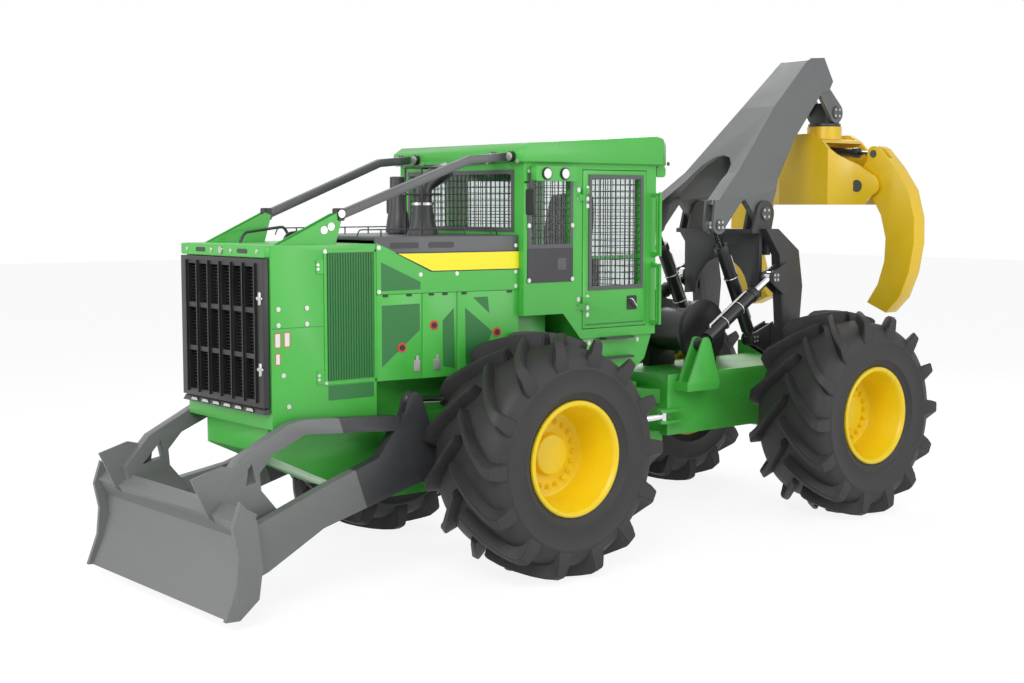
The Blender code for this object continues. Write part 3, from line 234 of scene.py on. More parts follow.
def dressed(node, material, edge=0.004):
    """A plate piece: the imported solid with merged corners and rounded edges, in its paint."""
    source = frame["nodes"][node]
    mesh = source.data.copy()
    shape = bmesh.new()
    shape.from_mesh(mesh)
    bmesh.ops.remove_doubles(shape, verts=shape.verts[:], dist=1e-5)
    bmesh.ops.dissolve_limit(
        shape, angle_limit=radians(1.0), verts=shape.verts[:], edges=shape.edges[:]
    )
    if edge:
        corners = [e for e in shape.edges if e.is_manifold and e.calc_face_angle(0) > radians(35)
                   and e.calc_length() > edge]
        bmesh.ops.bevel(shape, geom=corners, offset=edge, segments=2, profile=0.6,
                        affect="EDGES", clamp_overlap=True)
    bmesh.ops.recalc_face_normals(shape, faces=shape.faces[:])
    shape.to_mesh(mesh)
    shape.free()
    mesh.materials.clear()
    mesh.materials.append(material)
    smooth_by_angle(mesh)
    piece = bpy.data.objects.new(node + "_finished", mesh)
    scene.collection.objects.link(piece)
    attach(piece, body_of_node[node])
    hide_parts(node)
    return piece


for node, material, edge in (
    ("front_frame", GREEN, 0.003),
    ("radiator_housing", GREEN, 0.006),
    ("engine_side_left", GREEN, 0.003),
    ("engine_side_right", GREEN, 0.003),
    ("hood", HOOD_GREY, 0.010),
    ("cab_frame", GREEN, 0.0),
    ("cab_roof", GREEN, 0.014),
    ("door_left", GREEN, 0.003),
    ("door_right", GREEN, 0.003),
    ("cab_base", GREEN, 0.005),
    ("seat_base", BLACK, 0.004),
    ("engine_block", CASTING, 0.010),
    ("brush_guard_left", HOOD_GREY, 0.005),
    ("brush_guard_right", HOOD_GREY, 0.005),
    ("rear_frame", GREEN, 0.003),
    ("winch", BLACK, 0.004),
    ("arch", CHARCOAL, 0.003),
    ("boom", BOOM_GREY, 0.0),
    ("crosshead", CHARCOAL, 0.004),
    ("grapple_body", YELLOW, 0.003),
    ("tong_left", YELLOW, 0.006),
    ("tong_right", YELLOW, 0.006),
    ("blade", BLADE_GREY, 0.003),
    ("front_axle", CASTING, 0.0),
    ("rear_axle", CASTING, 0.0),
    ("exhaust_stack", CHARCOAL, 0.003),
):
    dressed(node, material, edge)
for node in body_of_node:
    if node.endswith("_barrel"):
        dressed(node, BLACK, 0.002)
    elif node.endswith("_rod"):
        dressed(node, CHROME, 0.0)


def piece_of(name, shape, material, body, angle=35):
    """A finished piece from a bmesh, riding on a body."""
    mesh = bpy.data.meshes.new(name)
    shape.to_mesh(mesh)
    shape.free()
    mesh.materials.append(material)
    smooth_by_angle(mesh, angle)
    piece = bpy.data.objects.new(name, mesh)
    scene.collection.objects.link(piece)
    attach(piece, body)
    return piece


def spun(profile, steps, ring=False):
    """A bmesh turned about X from (radius, x) points, out of the wheel's middle."""
    shape = bmesh.new()
    rings = []
    for k in range(steps):
        turn = 2 * pi * k / steps
        rings.append([shape.verts.new((x, r * cos(turn), r * sin(turn))) for r, x in profile])
    count = len(profile)
    for k in range(steps):
        here, there = rings[k], rings[(k + 1) % steps]
        for i in range(count if ring else count - 1):
            j = (i + 1) % count
            shape.faces.new((here[i], here[j], there[j], there[i]))
    bmesh.ops.remove_doubles(shape, verts=shape.verts[:], dist=1e-6)
    bmesh.ops.recalc_face_normals(shape, faces=shape.faces[:])
    return shape


# ---- Tyres -----------------------------------------------------------------------------------
# Forestry tyres, moulded in black rubber: a rounded carcass with long curved bars that run from
# the middle of the tread over the shoulder, in two staggered rows.


def rubber():
    material = bpy.data.materials.new("tyre_rubber")
    material.use_nodes = True
    tree = material.node_tree
    shader = tree.nodes["Principled BSDF"]
    place = tree.nodes.new("ShaderNodeTexCoord")
    cloud = tree.nodes.new("ShaderNodeTexNoise")
    cloud.inputs["Scale"].default_value = 5
    cloud.inputs["Detail"].default_value = 8
    grain = tree.nodes.new("ShaderNodeTexNoise")
    grain.inputs["Scale"].default_value = 260
    grain.inputs["Detail"].default_value = 3
    tree.links.new(place.outputs["Object"], cloud.inputs["Vector"])
    tree.links.new(place.outputs["Object"], grain.inputs["Vector"])
    tone = tree.nodes.new("ShaderNodeMixRGB")
    tone.inputs["Color1"].default_value = (0.012, 0.012, 0.013, 1)
    tone.inputs["Color2"].default_value = (0.034, 0.033, 0.032, 1)
    tree.links.new(cloud.outputs["Fac"], tone.inputs["Fac"])
    tree.links.new(tone.outputs["Color"], shader.inputs["Base Color"])
    gloss = tree.nodes.new("ShaderNodeMapRange")
    gloss.inputs["To Min"].default_value = 0.48
    gloss.inputs["To Max"].default_value = 0.72
    tree.links.new(cloud.outputs["Fac"], gloss.inputs["Value"])
    tree.links.new(gloss.outputs["Result"], shader.inputs["Roughness"])
    bump = tree.nodes.new("ShaderNodeBump")
    bump.inputs["Strength"].default_value = 0.25
    bump.inputs["Distance"].default_value = 0.002
    tree.links.new(grain.outputs["Fac"], bump.inputs["Height"])
    tree.links.new(bump.outputs["Normal"], shader.inputs["Normal"])
    return material


RUBBER = rubber()
CARCASS = (  # radius, distance from the tyre's middle: bead, sidewall with its ribs, shoulder, crown
    (0.4125, 0.330), (0.440, 0.3365), (0.470, 0.356), (0.492, 0.370), (0.500, 0.379), (0.512, 0.379),
    (0.520, 0.374), (0.590, 0.381), (0.655, 0.382), (0.664, 0.388), (0.680, 0.388), (0.689, 0.381),
    (0.730, 0.372), (0.765, 0.352), (0.792, 0.322), (0.810, 0.280), (0.820, 0.200), (0.824, 0.090),
)
LUG = (  # share of the sweep, (radius, x) at the bar's root and at its face, half widths there
    (0.00, (0.800, -0.020), (0.912, -0.014), 0.046, 0.030),
    (0.16, (0.800, 0.050), (0.915, 0.052), 0.048, 0.031),
    (0.34, (0.798, 0.120), (0.914, 0.122), 0.050, 0.032),
    (0.54, (0.792, 0.195), (0.911, 0.200), 0.052, 0.034),
    (0.74, (0.782, 0.258), (0.906, 0.278), 0.056, 0.036),
    (0.90, (0.764, 0.305), (0.896, 0.348), 0.062, 0.040),
    (0.97, (0.740, 0.335), (0.868, 0.386), 0.070, 0.046),
    (1.00, (0.700, 0.360), (0.790, 0.3905), 0.078, 0.058),
    (1.00, (0.670, 0.372), (0.700, 0.3885), 0.072, 0.060),
)
LUG_SWEEP = radians(27)
LUGS_A_SIDE = 14


def lug_bar(side):
    """One tread bar as a loft, in the wheel's own place, for one side of the tread."""
    shape = bmesh.new()
    rings = []
    for share, root, face, wide, narrow in LUG:
        lag = LUG_SWEEP * (1.25 * share - 0.25 * share * share)
        ring = []
        for (radius, x), half in ((root, wide), (face, narrow)):
            for way in (-1, 1):
                turn = lag + way * half / radius
                ring.append((side * x, radius * cos(turn), radius * sin(turn)))
        rings.append([shape.verts.new(ring[i]) for i in (0, 1, 3, 2)])
    for here, there in zip(rings, rings[1:]):
        for i in range(4):
            j = (i + 1) % 4
            shape.faces.new((here[i], here[j], there[j], there[i]))
    shape.faces.new(rings[0])
    shape.faces.new(rings[-1])
    bmesh.ops.recalc_face_normals(shape, faces=shape.faces[:])
    edges = [e for e in shape.edges if e.calc_face_angle(0) > radians(30)]
    bmesh.ops.bevel(shape, geom=edges, offset=0.007, segments=2, affect="EDGES", clamp_overlap=True)
    mesh = bpy.data.meshes.new("lug_bar")
    shape.to_mesh(mesh)
    shape.free()
    bar = bpy.data.objects.new("lug_bar", mesh)
    scene.collection.objects.link(bar)
    return bar


def new_tree(name, inputs):
    """An empty geometry tree with an output and named inputs: (name, socket type, default)."""
    tree = bpy.data.node_groups.new(name, "GeometryNodeTree")
    tree.interface.new_socket("Geometry", in_out="INPUT", socket_type="NodeSocketGeometry")
    for label, kind, value in inputs:
        socket = tree.interface.new_socket(label, in_out="INPUT", socket_type=kind)
        if value is not None:
            socket.default_value = value
    tree.interface.new_socket("Geometry", in_out="OUTPUT", socket_type="NodeSocketGeometry")
    return tree, tree.nodes.new("NodeGroupInput"), tree.nodes.new("NodeGroupOutput")


def finish_tree(tree, entry, exit_node, instances):
    """The tree's end: real copies in the material that the tree is given."""
    realize = tree.nodes.new("GeometryNodeRealizeInstances")
    coat = tree.nodes.new("GeometryNodeSetMaterial")
    tree.links.new(instances, realize.inputs[0])
    tree.links.new(realize.outputs[0], coat.inputs["Geometry"])
    tree.links.new(entry.outputs["Material"], coat.inputs["Material"])
    tree.links.new(coat.outputs[0], exit_node.inputs[0])


def grown(name, tree, values, body, seed_points=((0, 0, 0),), angle=35):
    """Runs a geometry tree over some points and keeps its result as a plain riding mesh."""
    seed = bpy.data.meshes.new(name)
    seed.from_pydata([tuple(p) for p in seed_points], [], [])
    maker = bpy.data.objects.new(name, seed)
    scene.collection.objects.link(maker)
    modifier = maker.modifiers.new("grow", "NODES")
    modifier.node_group = tree
    for item in tree.interface.items_tree:
        if item.in_out == "INPUT" and item.name in values:
            modifier[item.identifier] = values[item.name]
    bpy.context.view_layer.update()
    graph = bpy.context.evaluated_depsgraph_get()
    mesh = bpy.data.meshes.new_from_object(maker.evaluated_get(graph))
    maker.modifiers.remove(modifier)
    bpy.data.objects.remove(maker)
    mesh.name = name
    smooth_by_angle(mesh, angle)
    piece = bpy.data.objects.new(name, mesh)
    scene.collection.objects.link(piece)
    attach(piece, body)
    return piece


# Copies of one object, turned about X at even steps and moved to a centre.
wheel_ring, entry, ending = new_tree("copies_round_a_wheel", (
    ("Count", "NodeSocketInt", 20), ("Phase", "NodeSocketFloat", 0.0), ("Copy", "NodeSocketObject", None),
    ("Centre", "NodeSocketVector", None), ("Material", "NodeSocketMaterial", None)))
points = wheel_ring.nodes.new("GeometryNodePoints")
wheel_ring.links.new(entry.outputs["Count"], points.inputs["Count"])
wheel_ring.links.new(entry.outputs["Centre"], points.inputs["Position"])
index = wheel_ring.nodes.new("GeometryNodeInputIndex")
add = wheel_ring.nodes.new("ShaderNodeMath")
add.operation = "ADD"
wheel_ring.links.new(index.outputs[0], add.inputs[0])
wheel_ring.links.new(entry.outputs["Phase"], add.inputs[1])
share = wheel_ring.nodes.new("ShaderNodeMath")
share.operation = "DIVIDE"
wheel_ring.links.new(add.outputs[0], share.inputs[0])
wheel_ring.links.new(entry.outputs["Count"], share.inputs[1])
turn = wheel_ring.nodes.new("ShaderNodeMath")
turn.operation = "MULTIPLY"
turn.inputs[1].default_value = 2 * pi
wheel_ring.links.new(share.outputs[0], turn.inputs[0])
spin = wheel_ring.nodes.new("ShaderNodeCombineXYZ")
wheel_ring.links.new(turn.outputs[0], spin.inputs[0])
copy = wheel_ring.nodes.new("GeometryNodeObjectInfo")
copy.inputs["As Instance"].default_value = True
wheel_ring.links.new(entry.outputs["Copy"], copy.inputs["Object"])
place = wheel_ring.nodes.new("GeometryNodeInstanceOnPoints")
wheel_ring.links.new(points.outputs[0], place.inputs["Points"])
wheel_ring.links.new(copy.outputs["Geometry"], place.inputs["Instance"])
wheel_ring.links.new(spin.outputs[0], place.inputs["Rotation"])
finish_tree(wheel_ring, entry, ending, place.outputs[0])

WHEELS = {}
for end in ("front", "rear"):
    for side_name, side in (("left", 1), ("right", -1)):
        low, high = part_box(f"tyre_{end}_{side_name}")
        WHEELS[f"{end}_{side_name}"] = (side, (low + high) / 2)

bars = {side: lug_bar(side) for side in (1, -1)}
for wheel, (side, centre) in WHEELS.items():
    half = CARCASS + tuple((r, -x) for r, x in reversed(CARCASS))
    shape = spun(half, 120, ring=True)
    bmesh.ops.translate(shape, vec=centre, verts=shape.verts[:])
    carcass = piece_of(f"carcass_{wheel}", shape, RUBBER, f"wheel_{wheel}", 40)
    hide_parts(f"tyre_{wheel}")
    for row, bar in bars.items():
        grown(f"tread_{wheel}_{'outer' if row == side else 'inner'}", wheel_ring,
              {"Count": LUGS_A_SIDE, "Phase": 0.0 if row == side else 0.5, "Copy": bar,
               "Centre": centre, "Material": RUBBER}, f"wheel_{wheel}")
for bar in bars.values():
    bpy.data.objects.remove(bar)

# ---- Rims ------------------------------------------------------------------------------------
# Deep pressed-steel rims in yellow enamel, with a rolled flange, a well and a flat disc that
# twenty nuts hold on the hub.

RIM = (  # radius, distance out from the middle of the rim, across the disc and over the flange
    (0.000, 0.085), (0.120, 0.085), (0.146, 0.080), (0.154, 0.070), (0.158, 0.032), (0.166, 0.024),
    (0.300, 0.022), (0.322, 0.028), (0.334, 0.046), (0.342, 0.100), (0.352, 0.180), (0.366, 0.262),
    (0.378, 0.300), (0.384, 0.325), (0.392, 0.346), (0.404, 0.356), (0.420, 0.358), (0.431, 0.352),
    (0.435, 0.342), (0.4355, 0.3368), (0.4118, 0.3366), (0.4118, -0.3366), (0.4355, -0.3368),
    (0.435, -0.345), (0.420, -0.354), (0.400, -0.350), (0.384, -0.320), (0.370, -0.240),
    (0.362, -0.030), (0.350, -0.018), (0.096, -0.018), (0.096, 0.028), (0.0, 0.028),
)
DISC_X, NUT_CIRCLE, WHEEL_NUTS = 0.022, 0.245, 20


def hex_nut(side):
    """A wheel nut with its washer and stud at the nut circle, facing out of that side's wheels."""
    shape = bmesh.new()
    for sides, radius, low, high in ((20, 0.024, -0.002, 0.004), (6, 0.019, 0.003, 0.022),
                                     (12, 0.009, 0.02, 0.032)):
        made = bmesh.ops.create_cone(shape, cap_ends=True, segments=sides, radius1=radius,
                                     radius2=radius, depth=high - low)
        place = (Matrix.Translation((side * (DISC_X + (low + high) / 2), NUT_CIRCLE, 0))
                 @ Matrix.Rotation(pi / 2, 4, "Y"))
        bmesh.ops.transform(shape, matrix=place, verts=made["verts"])
    mesh = bpy.data.meshes.new("hex_nut")
    shape.to_mesh(mesh)
    shape.free()
    nut = bpy.data.objects.new("hex_nut", mesh)
    scene.collection.objects.link(nut)
    return nut


nuts = {side: hex_nut(side) for side in (1, -1)}
for wheel, (side, centre) in WHEELS.items():
    shape = spun([(r, side * x) for r, x in RIM], 96)
    bmesh.ops.translate(shape, vec=centre, verts=shape.verts[:])
    rim = piece_of(f"rim_dish_{wheel}", shape, RIM_YELLOW, f"wheel_{wheel}", 30)
    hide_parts(f"rim_{wheel}")
    grown(f"wheel_nuts_{wheel}", wheel_ring,
          {"Count": WHEEL_NUTS, "Phase": 0.0, "Copy": nuts[side], "Centre": centre, "Material": RIM_YELLOW},
          f"wheel_{wheel}")
for nut in nuts.values():
    bpy.data.objects.remove(nut)

# ---- Radiator grille -------------------------------------------------------------------------
# A hinged steel frame, painted black, with upright ribs and short cross bars that keep brush out.

# A row of equal bars, from one place by even steps.
bar_row, entry, ending = new_tree("row_of_bars", (
    ("Count", "NodeSocketInt", 2), ("First", "NodeSocketVector", None), ("Step", "NodeSocketVector", None),
    ("Size", "NodeSocketVector", None), ("Material", "NodeSocketMaterial", None)))
line = bar_row.nodes.new("GeometryNodeMeshLine")
line.mode = "OFFSET"
bar_row.links.new(entry.outputs["Count"], line.inputs["Count"])
bar_row.links.new(entry.outputs["First"], line.inputs["Start Location"])
bar_row.links.new(entry.outputs["Step"], line.inputs["Offset"])
cube = bar_row.nodes.new("GeometryNodeMeshCube")
bar_row.links.new(entry.outputs["Size"], cube.inputs["Size"])
place = bar_row.nodes.new("GeometryNodeInstanceOnPoints")
bar_row.links.new(line.outputs[0], place.inputs["Points"])
bar_row.links.new(cube.outputs[0], place.inputs["Instance"])
finish_tree(bar_row, entry, ending, place.outputs[0])


def bars_in_row(name, count, first, step, size, material, body):
    return grown(name, bar_row, {"Count": count, "First": first, "Step": step, "Size": size,
                                 "Material": material}, body)


def solid_box(low, high, edge=0.0):
    """A bmesh box between two corners, its edges rounded."""
    shape = bmesh.new()
    low, high = Vector(low), Vector(high)
    place = Matrix.Translation((low + high) / 2) @ Matrix.Diagonal((*(high - low), 1))
    bmesh.ops.create_cube(shape, size=1, matrix=place)
    if edge:
        bmesh.ops.bevel(shape, geom=shape.edges[:], offset=edge, segments=2, affect="EDGES")
    bmesh.ops.recalc_face_normals(shape, faces=shape.faces[:])
    return shape


grille_low, grille_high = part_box("grille_door")
grille_mid = (grille_low + grille_high) / 2
dressed("grille_door", BLACK, 0.003)
bars_in_row("grille_ribs", 7, (-0.492, grille_low.y - 0.004, grille_mid.z), (0.164, 0, 0),
            (0.012, 0.024, grille_high.z - grille_low.z - 0.06), BLACK, "grille_door")
for k in range(6):
    x = -0.41 + 0.164 * k
    bars_in_row(f"grille_mesh_{k}", 40, (x, grille_high.y - 0.014, grille_low.z + 0.05), (0, 0, 0.0237),
                (0.136, 0.006, 0.007), BLACK, "grille_door")
grille_latch_z = (grille_low.z + 0.27, grille_low.z + 0.76)

# Hexagon bolt heads that face one way, on washers, at a list of places.
bolt_tree, entry, ending = new_tree("bolt_heads", (
    ("Facing", "NodeSocketVector", None), ("Across", "NodeSocketFloat", 0.012), ("Height", "NodeSocketFloat",
            0.009),
    ("Material", "NodeSocketMaterial", None)))
head = bolt_tree.nodes.new("GeometryNodeMeshCylinder")
head.inputs["Vertices"].default_value = 6
bolt_tree.links.new(entry.outputs["Across"], head.inputs["Radius"])
bolt_tree.links.new(entry.outputs["Height"], head.inputs["Depth"])
washer = bolt_tree.nodes.new("GeometryNodeMeshCylinder")
washer.inputs["Vertices"].default_value = 16
wide = bolt_tree.nodes.new("ShaderNodeMath")
wide.operation = "MULTIPLY"
wide.inputs[1].default_value = 1.45
thin = bolt_tree.nodes.new("ShaderNodeMath")
thin.operation = "MULTIPLY"
thin.inputs[1].default_value = 0.45
bolt_tree.links.new(entry.outputs["Across"], wide.inputs[0])
bolt_tree.links.new(wide.outputs[0], washer.inputs["Radius"])
bolt_tree.links.new(entry.outputs["Height"], thin.inputs[0])
bolt_tree.links.new(thin.outputs[0], washer.inputs["Depth"])
both = bolt_tree.nodes.new("GeometryNodeJoinGeometry")
bolt_tree.links.new(head.outputs["Mesh"], both.inputs[0])
bolt_tree.links.new(washer.outputs["Mesh"], both.inputs[0])
lean = bolt_tree.nodes.new("FunctionNodeAlignRotationToVector")
lean.axis = "Z"
bolt_tree.links.new(entry.outputs["Facing"], lean.inputs["Vector"])
place = bolt_tree.nodes.new("GeometryNodeInstanceOnPoints")
bolt_tree.links.new(entry.outputs["Geometry"], place.inputs["Points"])
bolt_tree.links.new(both.outputs[0], place.inputs["Instance"])
bolt_tree.links.new(lean.outputs[0], place.inputs["Rotation"])
finish_tree(bolt_tree, entry, ending, place.outputs[0])


def bolts(name, places, facing, body, across=0.012, height=0.010, material=STEEL):
    return grown(name, bolt_tree, {"Facing": facing, "Across": across, "Height": height,
                                   "Material": material}, body, places)


def sheet_piece(name, axis, outline, low, high, material, body, edge=0.002):
    """A flat plate cut to an outline across X (y, z), Y (x, z) or Z (x, y), from low to high."""
    order = {"X": lambda u, v, w: at(w, u, v), "Y": lambda u, v, w: at(u, w, v),
             "Z": lambda u, v, w: at(u, v, w)}[axis]
    shape = bmesh.new()
    rings = [[shape.verts.new(order(u, v, w)) for u, v in outline] for w in (low, high)]
    count = len(outline)
    for i in range(count):
        j = (i + 1) % count
        shape.faces.new((rings[0][i], rings[0][j], rings[1][j], rings[1][i]))
    shape.faces.new(rings[0])
    shape.faces.new(rings[1])
    bmesh.ops.recalc_face_normals(shape, faces=shape.faces[:])
    if edge:
        bmesh.ops.bevel(shape, geom=shape.edges[:], offset=min(edge, abs(high - low) * 0.4), segments=2,
                        affect="EDGES", clamp_overlap=True)
    return piece_of(name, shape, material, body)


def rounded(u0, u1, v0, v1, r, steps=4):
    """A rectangle's outline with round corners."""
    points = []
    for cu, cv, first in ((u1 - r, v1 - r, 0), (u0 + r, v1 - r, 90), (u0 + r, v0 + r, 180), (u1 - r, v0 + r,
            270)):
        for k in range(steps + 1):
            a = radians(first + 90 * k / steps)
            points.append((cu + r * cos(a), cv + r * sin(a)))
    return points


def disc(u, v, r, steps=24):
    return [(u + r * cos(2 * pi * k / steps), v + r * sin(2 * pi * k / steps)) for k in range(steps)]


def pipe(name, places, radius, material, body, bend=True):
    """A tube along machine places, with a soft bend at each."""
    path = bpy.data.curves.new(name, "CURVE")
    path.dimensions = "3D"
    path.bevel_depth = radius
    path.bevel_resolution = 3
    path.resolution_u = 6
    path.use_fill_caps = True
    points = [at(*p) for p in places]
    if bend and len(points) > 2:
        soft = [points[0]]
        for before, corner, after in zip(points, points[1:], points[2:]):
            for k in range(5):
                t = k / 4
                reach = min((corner - before).length, (after - corner).length) * 0.4
                a = corner + (before - corner).normalized() * reach
                b = corner + (after - corner).normalized() * reach
                soft.append(a.lerp(corner, t).lerp(corner.lerp(b, t), t))
        points = soft + [points[-1]]
    spline = path.splines.new("POLY")
    spline.points.add(len(points) - 1)
    for point, co in zip(spline.points, points):
        point.co = (*co, 1)
    maker = bpy.data.objects.new(name, path)
    scene.collection.objects.link(maker)
    bpy.context.view_layer.update()
    graph = bpy.context.evaluated_depsgraph_get()
    mesh = bpy.data.meshes.new_from_object(maker.evaluated_get(graph))
    bpy.data.objects.remove(maker)
    shape = bmesh.new()
    shape.from_mesh(mesh)
    bmesh.ops.remove_doubles(shape, verts=shape.verts[:], dist=1e-5)
    return piece_of(name, shape, material, body, 50)


SIDES = (("left", 1), ("right", -1))

# The grille's catches: bright handles on the left edge, over small steel keepers.
for k, z in enumerate(grille_latch_z):
    y = grille_low.y - AXLE - 0.012
    sheet_piece(f"grille_catch_{k}", "Y", rounded(0.535, 0.60, z - 0.011, z + 0.011, 0.008), y - 0.012, y,
                STEEL, "grille_door", 0.004)
    sheet_piece(f"grille_catch_arm_{k}", "Y", rounded(0.575, 0.592, z - 0.045, z + 0.045, 0.006), y - 0.020,
                y - 0.008, STEEL, "grille_door", 0.003)

# ---- Radiator housing ------------------------------------------------------------------------
# A welded green box. On each side a corrugated air screen, bolted plates and blank decals; on
# top a slotted bar with a lamp, the guard tubes' gussets and grab handles.

house_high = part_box("radiator_housing")[1]
HOUSE_FRONT, HOUSE_TOP, HOUSE_HALF = -2.04, house_high.z, 0.60
DECAL_WHITE = enamel("decal_white", (0.75, 0.75, 0.73), 0.4, 0.03, dust=0.0)
DECAL_RED = enamel("decal_red", (0.62, 0.045, 0.025), 0.4, 0.03, dust=0.0)
for side_name, side in SIDES:
    face = side * HOUSE_HALF
    sheet_piece(f"air_screen_back_{side_name}", "X", rounded(-1.580, -1.190, 1.535, 2.435, 0.01),
                side * 0.594, side * 0.5955, DARK_GREEN, "front_body", 0)
    bars_in_row(f"air_screen_ribs_{side_name}", 18, at(side * 0.598, -1.571, 1.985), (0, 0.0219, 0),
                (0.008, 0.009, 0.895), DARK_GREEN, "front_body")
    sheet_piece(f"air_screen_foot_{side_name}", "X", rounded(-1.580, -1.190, 1.395, 1.500, 0.008),
                face, face + side * 0.002, DARK_GREEN, "front_body", 0)
    frame_bars = (
        ("front", (-1.612, -1.588), (1.50, 2.46)), ("rear", (-1.184, -1.168), (1.50, 2.46)),
        ("top", (-1.612, -1.168), (2.442, 2.462)), ("low", (-1.612, -1.168), (1.506, 1.528)),
    )
    for part, (y0, y1), (z0, z1) in frame_bars:
        sheet_piece(f"screen_frame_{part}_{side_name}", "X", [(y0, z0), (y1, z0), (y1, z1), (y0, z1)],
                    face, face + side * 0.007, GREEN, "front_body", 0.002)
    out = at(face + side * 0.004, 0, 0).x
    bolts(f"housing_bolts_{side_name}",
          [at(out, y, z) for y, z in ((-1.985, 2.06), (-1.755, 2.06), (-1.985, 1.95), (-1.755, 1.95),
                                      (-1.95, 1.60), (-1.91, 1.38), (-1.66, 2.36), (-1.66, 2.33),
                                      (-1.66, 1.58), (-1.66, 1.55), (-1.60, 1.52), (-1.60, 2.45))],
          (side, 0, 0), "front_body")
    for k, z in enumerate((2.345, 1.565)):
        sheet_piece(f"screen_hinge_{side_name}_{k}", "X", rounded(-1.675, -1.615, z - 0.05, z + 0.05, 0.006),
                    face, face + side * 0.008, GREEN, "front_body", 0.002)
    sheet_piece(f"housing_seam_{side_name}", "X", rounded(-2.035, -1.62, 1.925, 1.929, 0.001),
                face, face + side * 0.0006, DARK_GREEN, "front_body", 0)
    for k, (y, z, w, h) in enumerate(((-1.990, 1.845, 0.050, 0.105), (-1.915, 1.848, 0.050, 0.105),
                                      (-1.990, 1.715, 0.042, 0.082))):
        for layer, trim, colour in ((0, 0.0, DECAL_RED), (1, 0.006, DECAL_WHITE)):
            sheet_piece(f"blank_decal_{side_name}_{k}_{layer}", "X",
                        rounded(y - w / 2 + trim, y + w / 2 - trim, z - h / 2 + trim, z + h / 2 - trim,
                                0.004),
                        face, face + side * (0.0008 + 0.0006 * layer), colour, "front_body", 0)
    # Gusset plates that hold the guard tube's foot, with a black collar and two bolts.
    for k, x in enumerate((0.452, 0.526)):
        sheet_piece(f"guard_gusset_{side_name}_{k}", "X",
                    [(-1.93, HOUSE_TOP), (-1.46, HOUSE_TOP), (-1.40, 2.70), (-1.45, 2.72)],
                    side * (x - 0.005), side * (x + 0.005), GREEN, "front_body", 0.002)
    collar = [(side * (0.500 + u), v) for u, v in ((-0.040, -1.445), (0.040, -1.445), (0.040, -1.385),
                                                   (-0.040, -1.385))]
    sheet_piece(f"guard_collar_{side_name}", "Z", collar, 2.665, 2.755, BLACK, "front_body",
                0.006)
    bolts(f"guard_bolts_{side_name}", [at(side * 0.533, -1.50, 2.625), at(side * 0.533, -1.56, 2.60),
                                       at(side * 0.542, -1.415, 2.715)], (side, 0, 0), "front_body", 0.020,
                                       0.014)
    pipe(f"hood_handle_{side_name}", [(side * 0.30, -1.76, 2.50), (side * 0.30, -1.72, 2.575),
                                      (side * 0.30, -1.38, 2.615), (side * 0.30, -1.34, 2.545)], 0.011,
         BLACK, "front_body")
    pipe(f"hood_rail_{side_name}", [(side * 0.56, -1.30, 2.55), (side * 0.56, -1.28, 2.60),
                                    (side * 0.66, -0.10, 2.60), (side * 0.66, -0.08, 2.55)], 0.005,
         BLACK, "front_body")
    bars_in_row(f"hood_rail_posts_{side_name}", 5, at(side * 0.575, -1.10, 2.575), (side * 0.0205, 0.24, 0),
                (0.008, 0.008, 0.052), BLACK, "front_body")
sheet_piece("housing_top_bar", "Y", rounded(-0.598, 0.598, 2.418, 2.498, 0.012), HOUSE_FRONT - 0.045,
            HOUSE_FRONT,
            GREEN, "front_body", 0.006)
for k, x in enumerate((-0.30, 0.30)):
    sheet_piece(f"top_bar_slot_{k}", "Y", rounded(x - 0.07, x + 0.07, 2.442, 2.474, 0.014),
                HOUSE_FRONT - 0.0475, HOUSE_FRONT - 0.044, CHARCOAL, "front_body", 0)
sheet_piece("top_bar_lamp", "Y", disc(0.0, 2.458, 0.028), HOUSE_FRONT - 0.056, HOUSE_FRONT - 0.044, STEEL,
            "front_body", 0.003)
bolts("top_bar_bolts", [at(x, HOUSE_FRONT - 0.047, 2.458) for x in (-0.50, -0.14, 0.14, 0.50)], (0, -1, 0),
      "front_body")
sheet_piece("grille_shelf", "X", [(-2.10, 1.335), (-2.045, 1.335), (-2.045, 1.372), (-2.075, 1.372)], -0.585,
            0.585,
            CHARCOAL, "front_body", 0.002)
for k in range(6):
    x = -0.40 + 0.16 * k
    sheet_piece(f"shelf_clip_{k}", "Y", [(x - 0.05, 1.345), (x + 0.05, 1.345), (x + 0.035, 1.366),
                                         (x - 0.035, 1.366)],
                -2.106, -2.085, STEEL, "front_body", 0.002)
core_low, core_high = at(-0.52, -1.93, 1.45), at(0.52, -1.83, 2.36)
piece_of("radiator_core", solid_box(core_low, core_high, 0.004), CHARCOAL, "front_body")
bars_in_row("radiator_fins", 44, at(-0.505, -1.932, 1.905), (0.0235, 0, 0), (0.004, 0.012, 0.90), CASTING,
            "front_body")

# ---- Hood and engine side panels -------------------------------------------------------------
# A grey hood with slots and a yellow flash over green lift-off panels, whose pressed fields are
# a darker green. Round catches with red rings and bright draw latches hold them.

STRIPE_YELLOW = enamel("stripe_yellow", (0.95, 0.83, 0.0), 0.32, 0.02, dust=0.0)
HOOD_BREAK, CAB_FACE = -1.165, 0.065


def hood_half(y):
    """The hood widens from the radiator housing to the cab."""
    return 0.60 + 0.14 * (y - HOOD_BREAK) / (CAB_FACE - HOOD_BREAK)


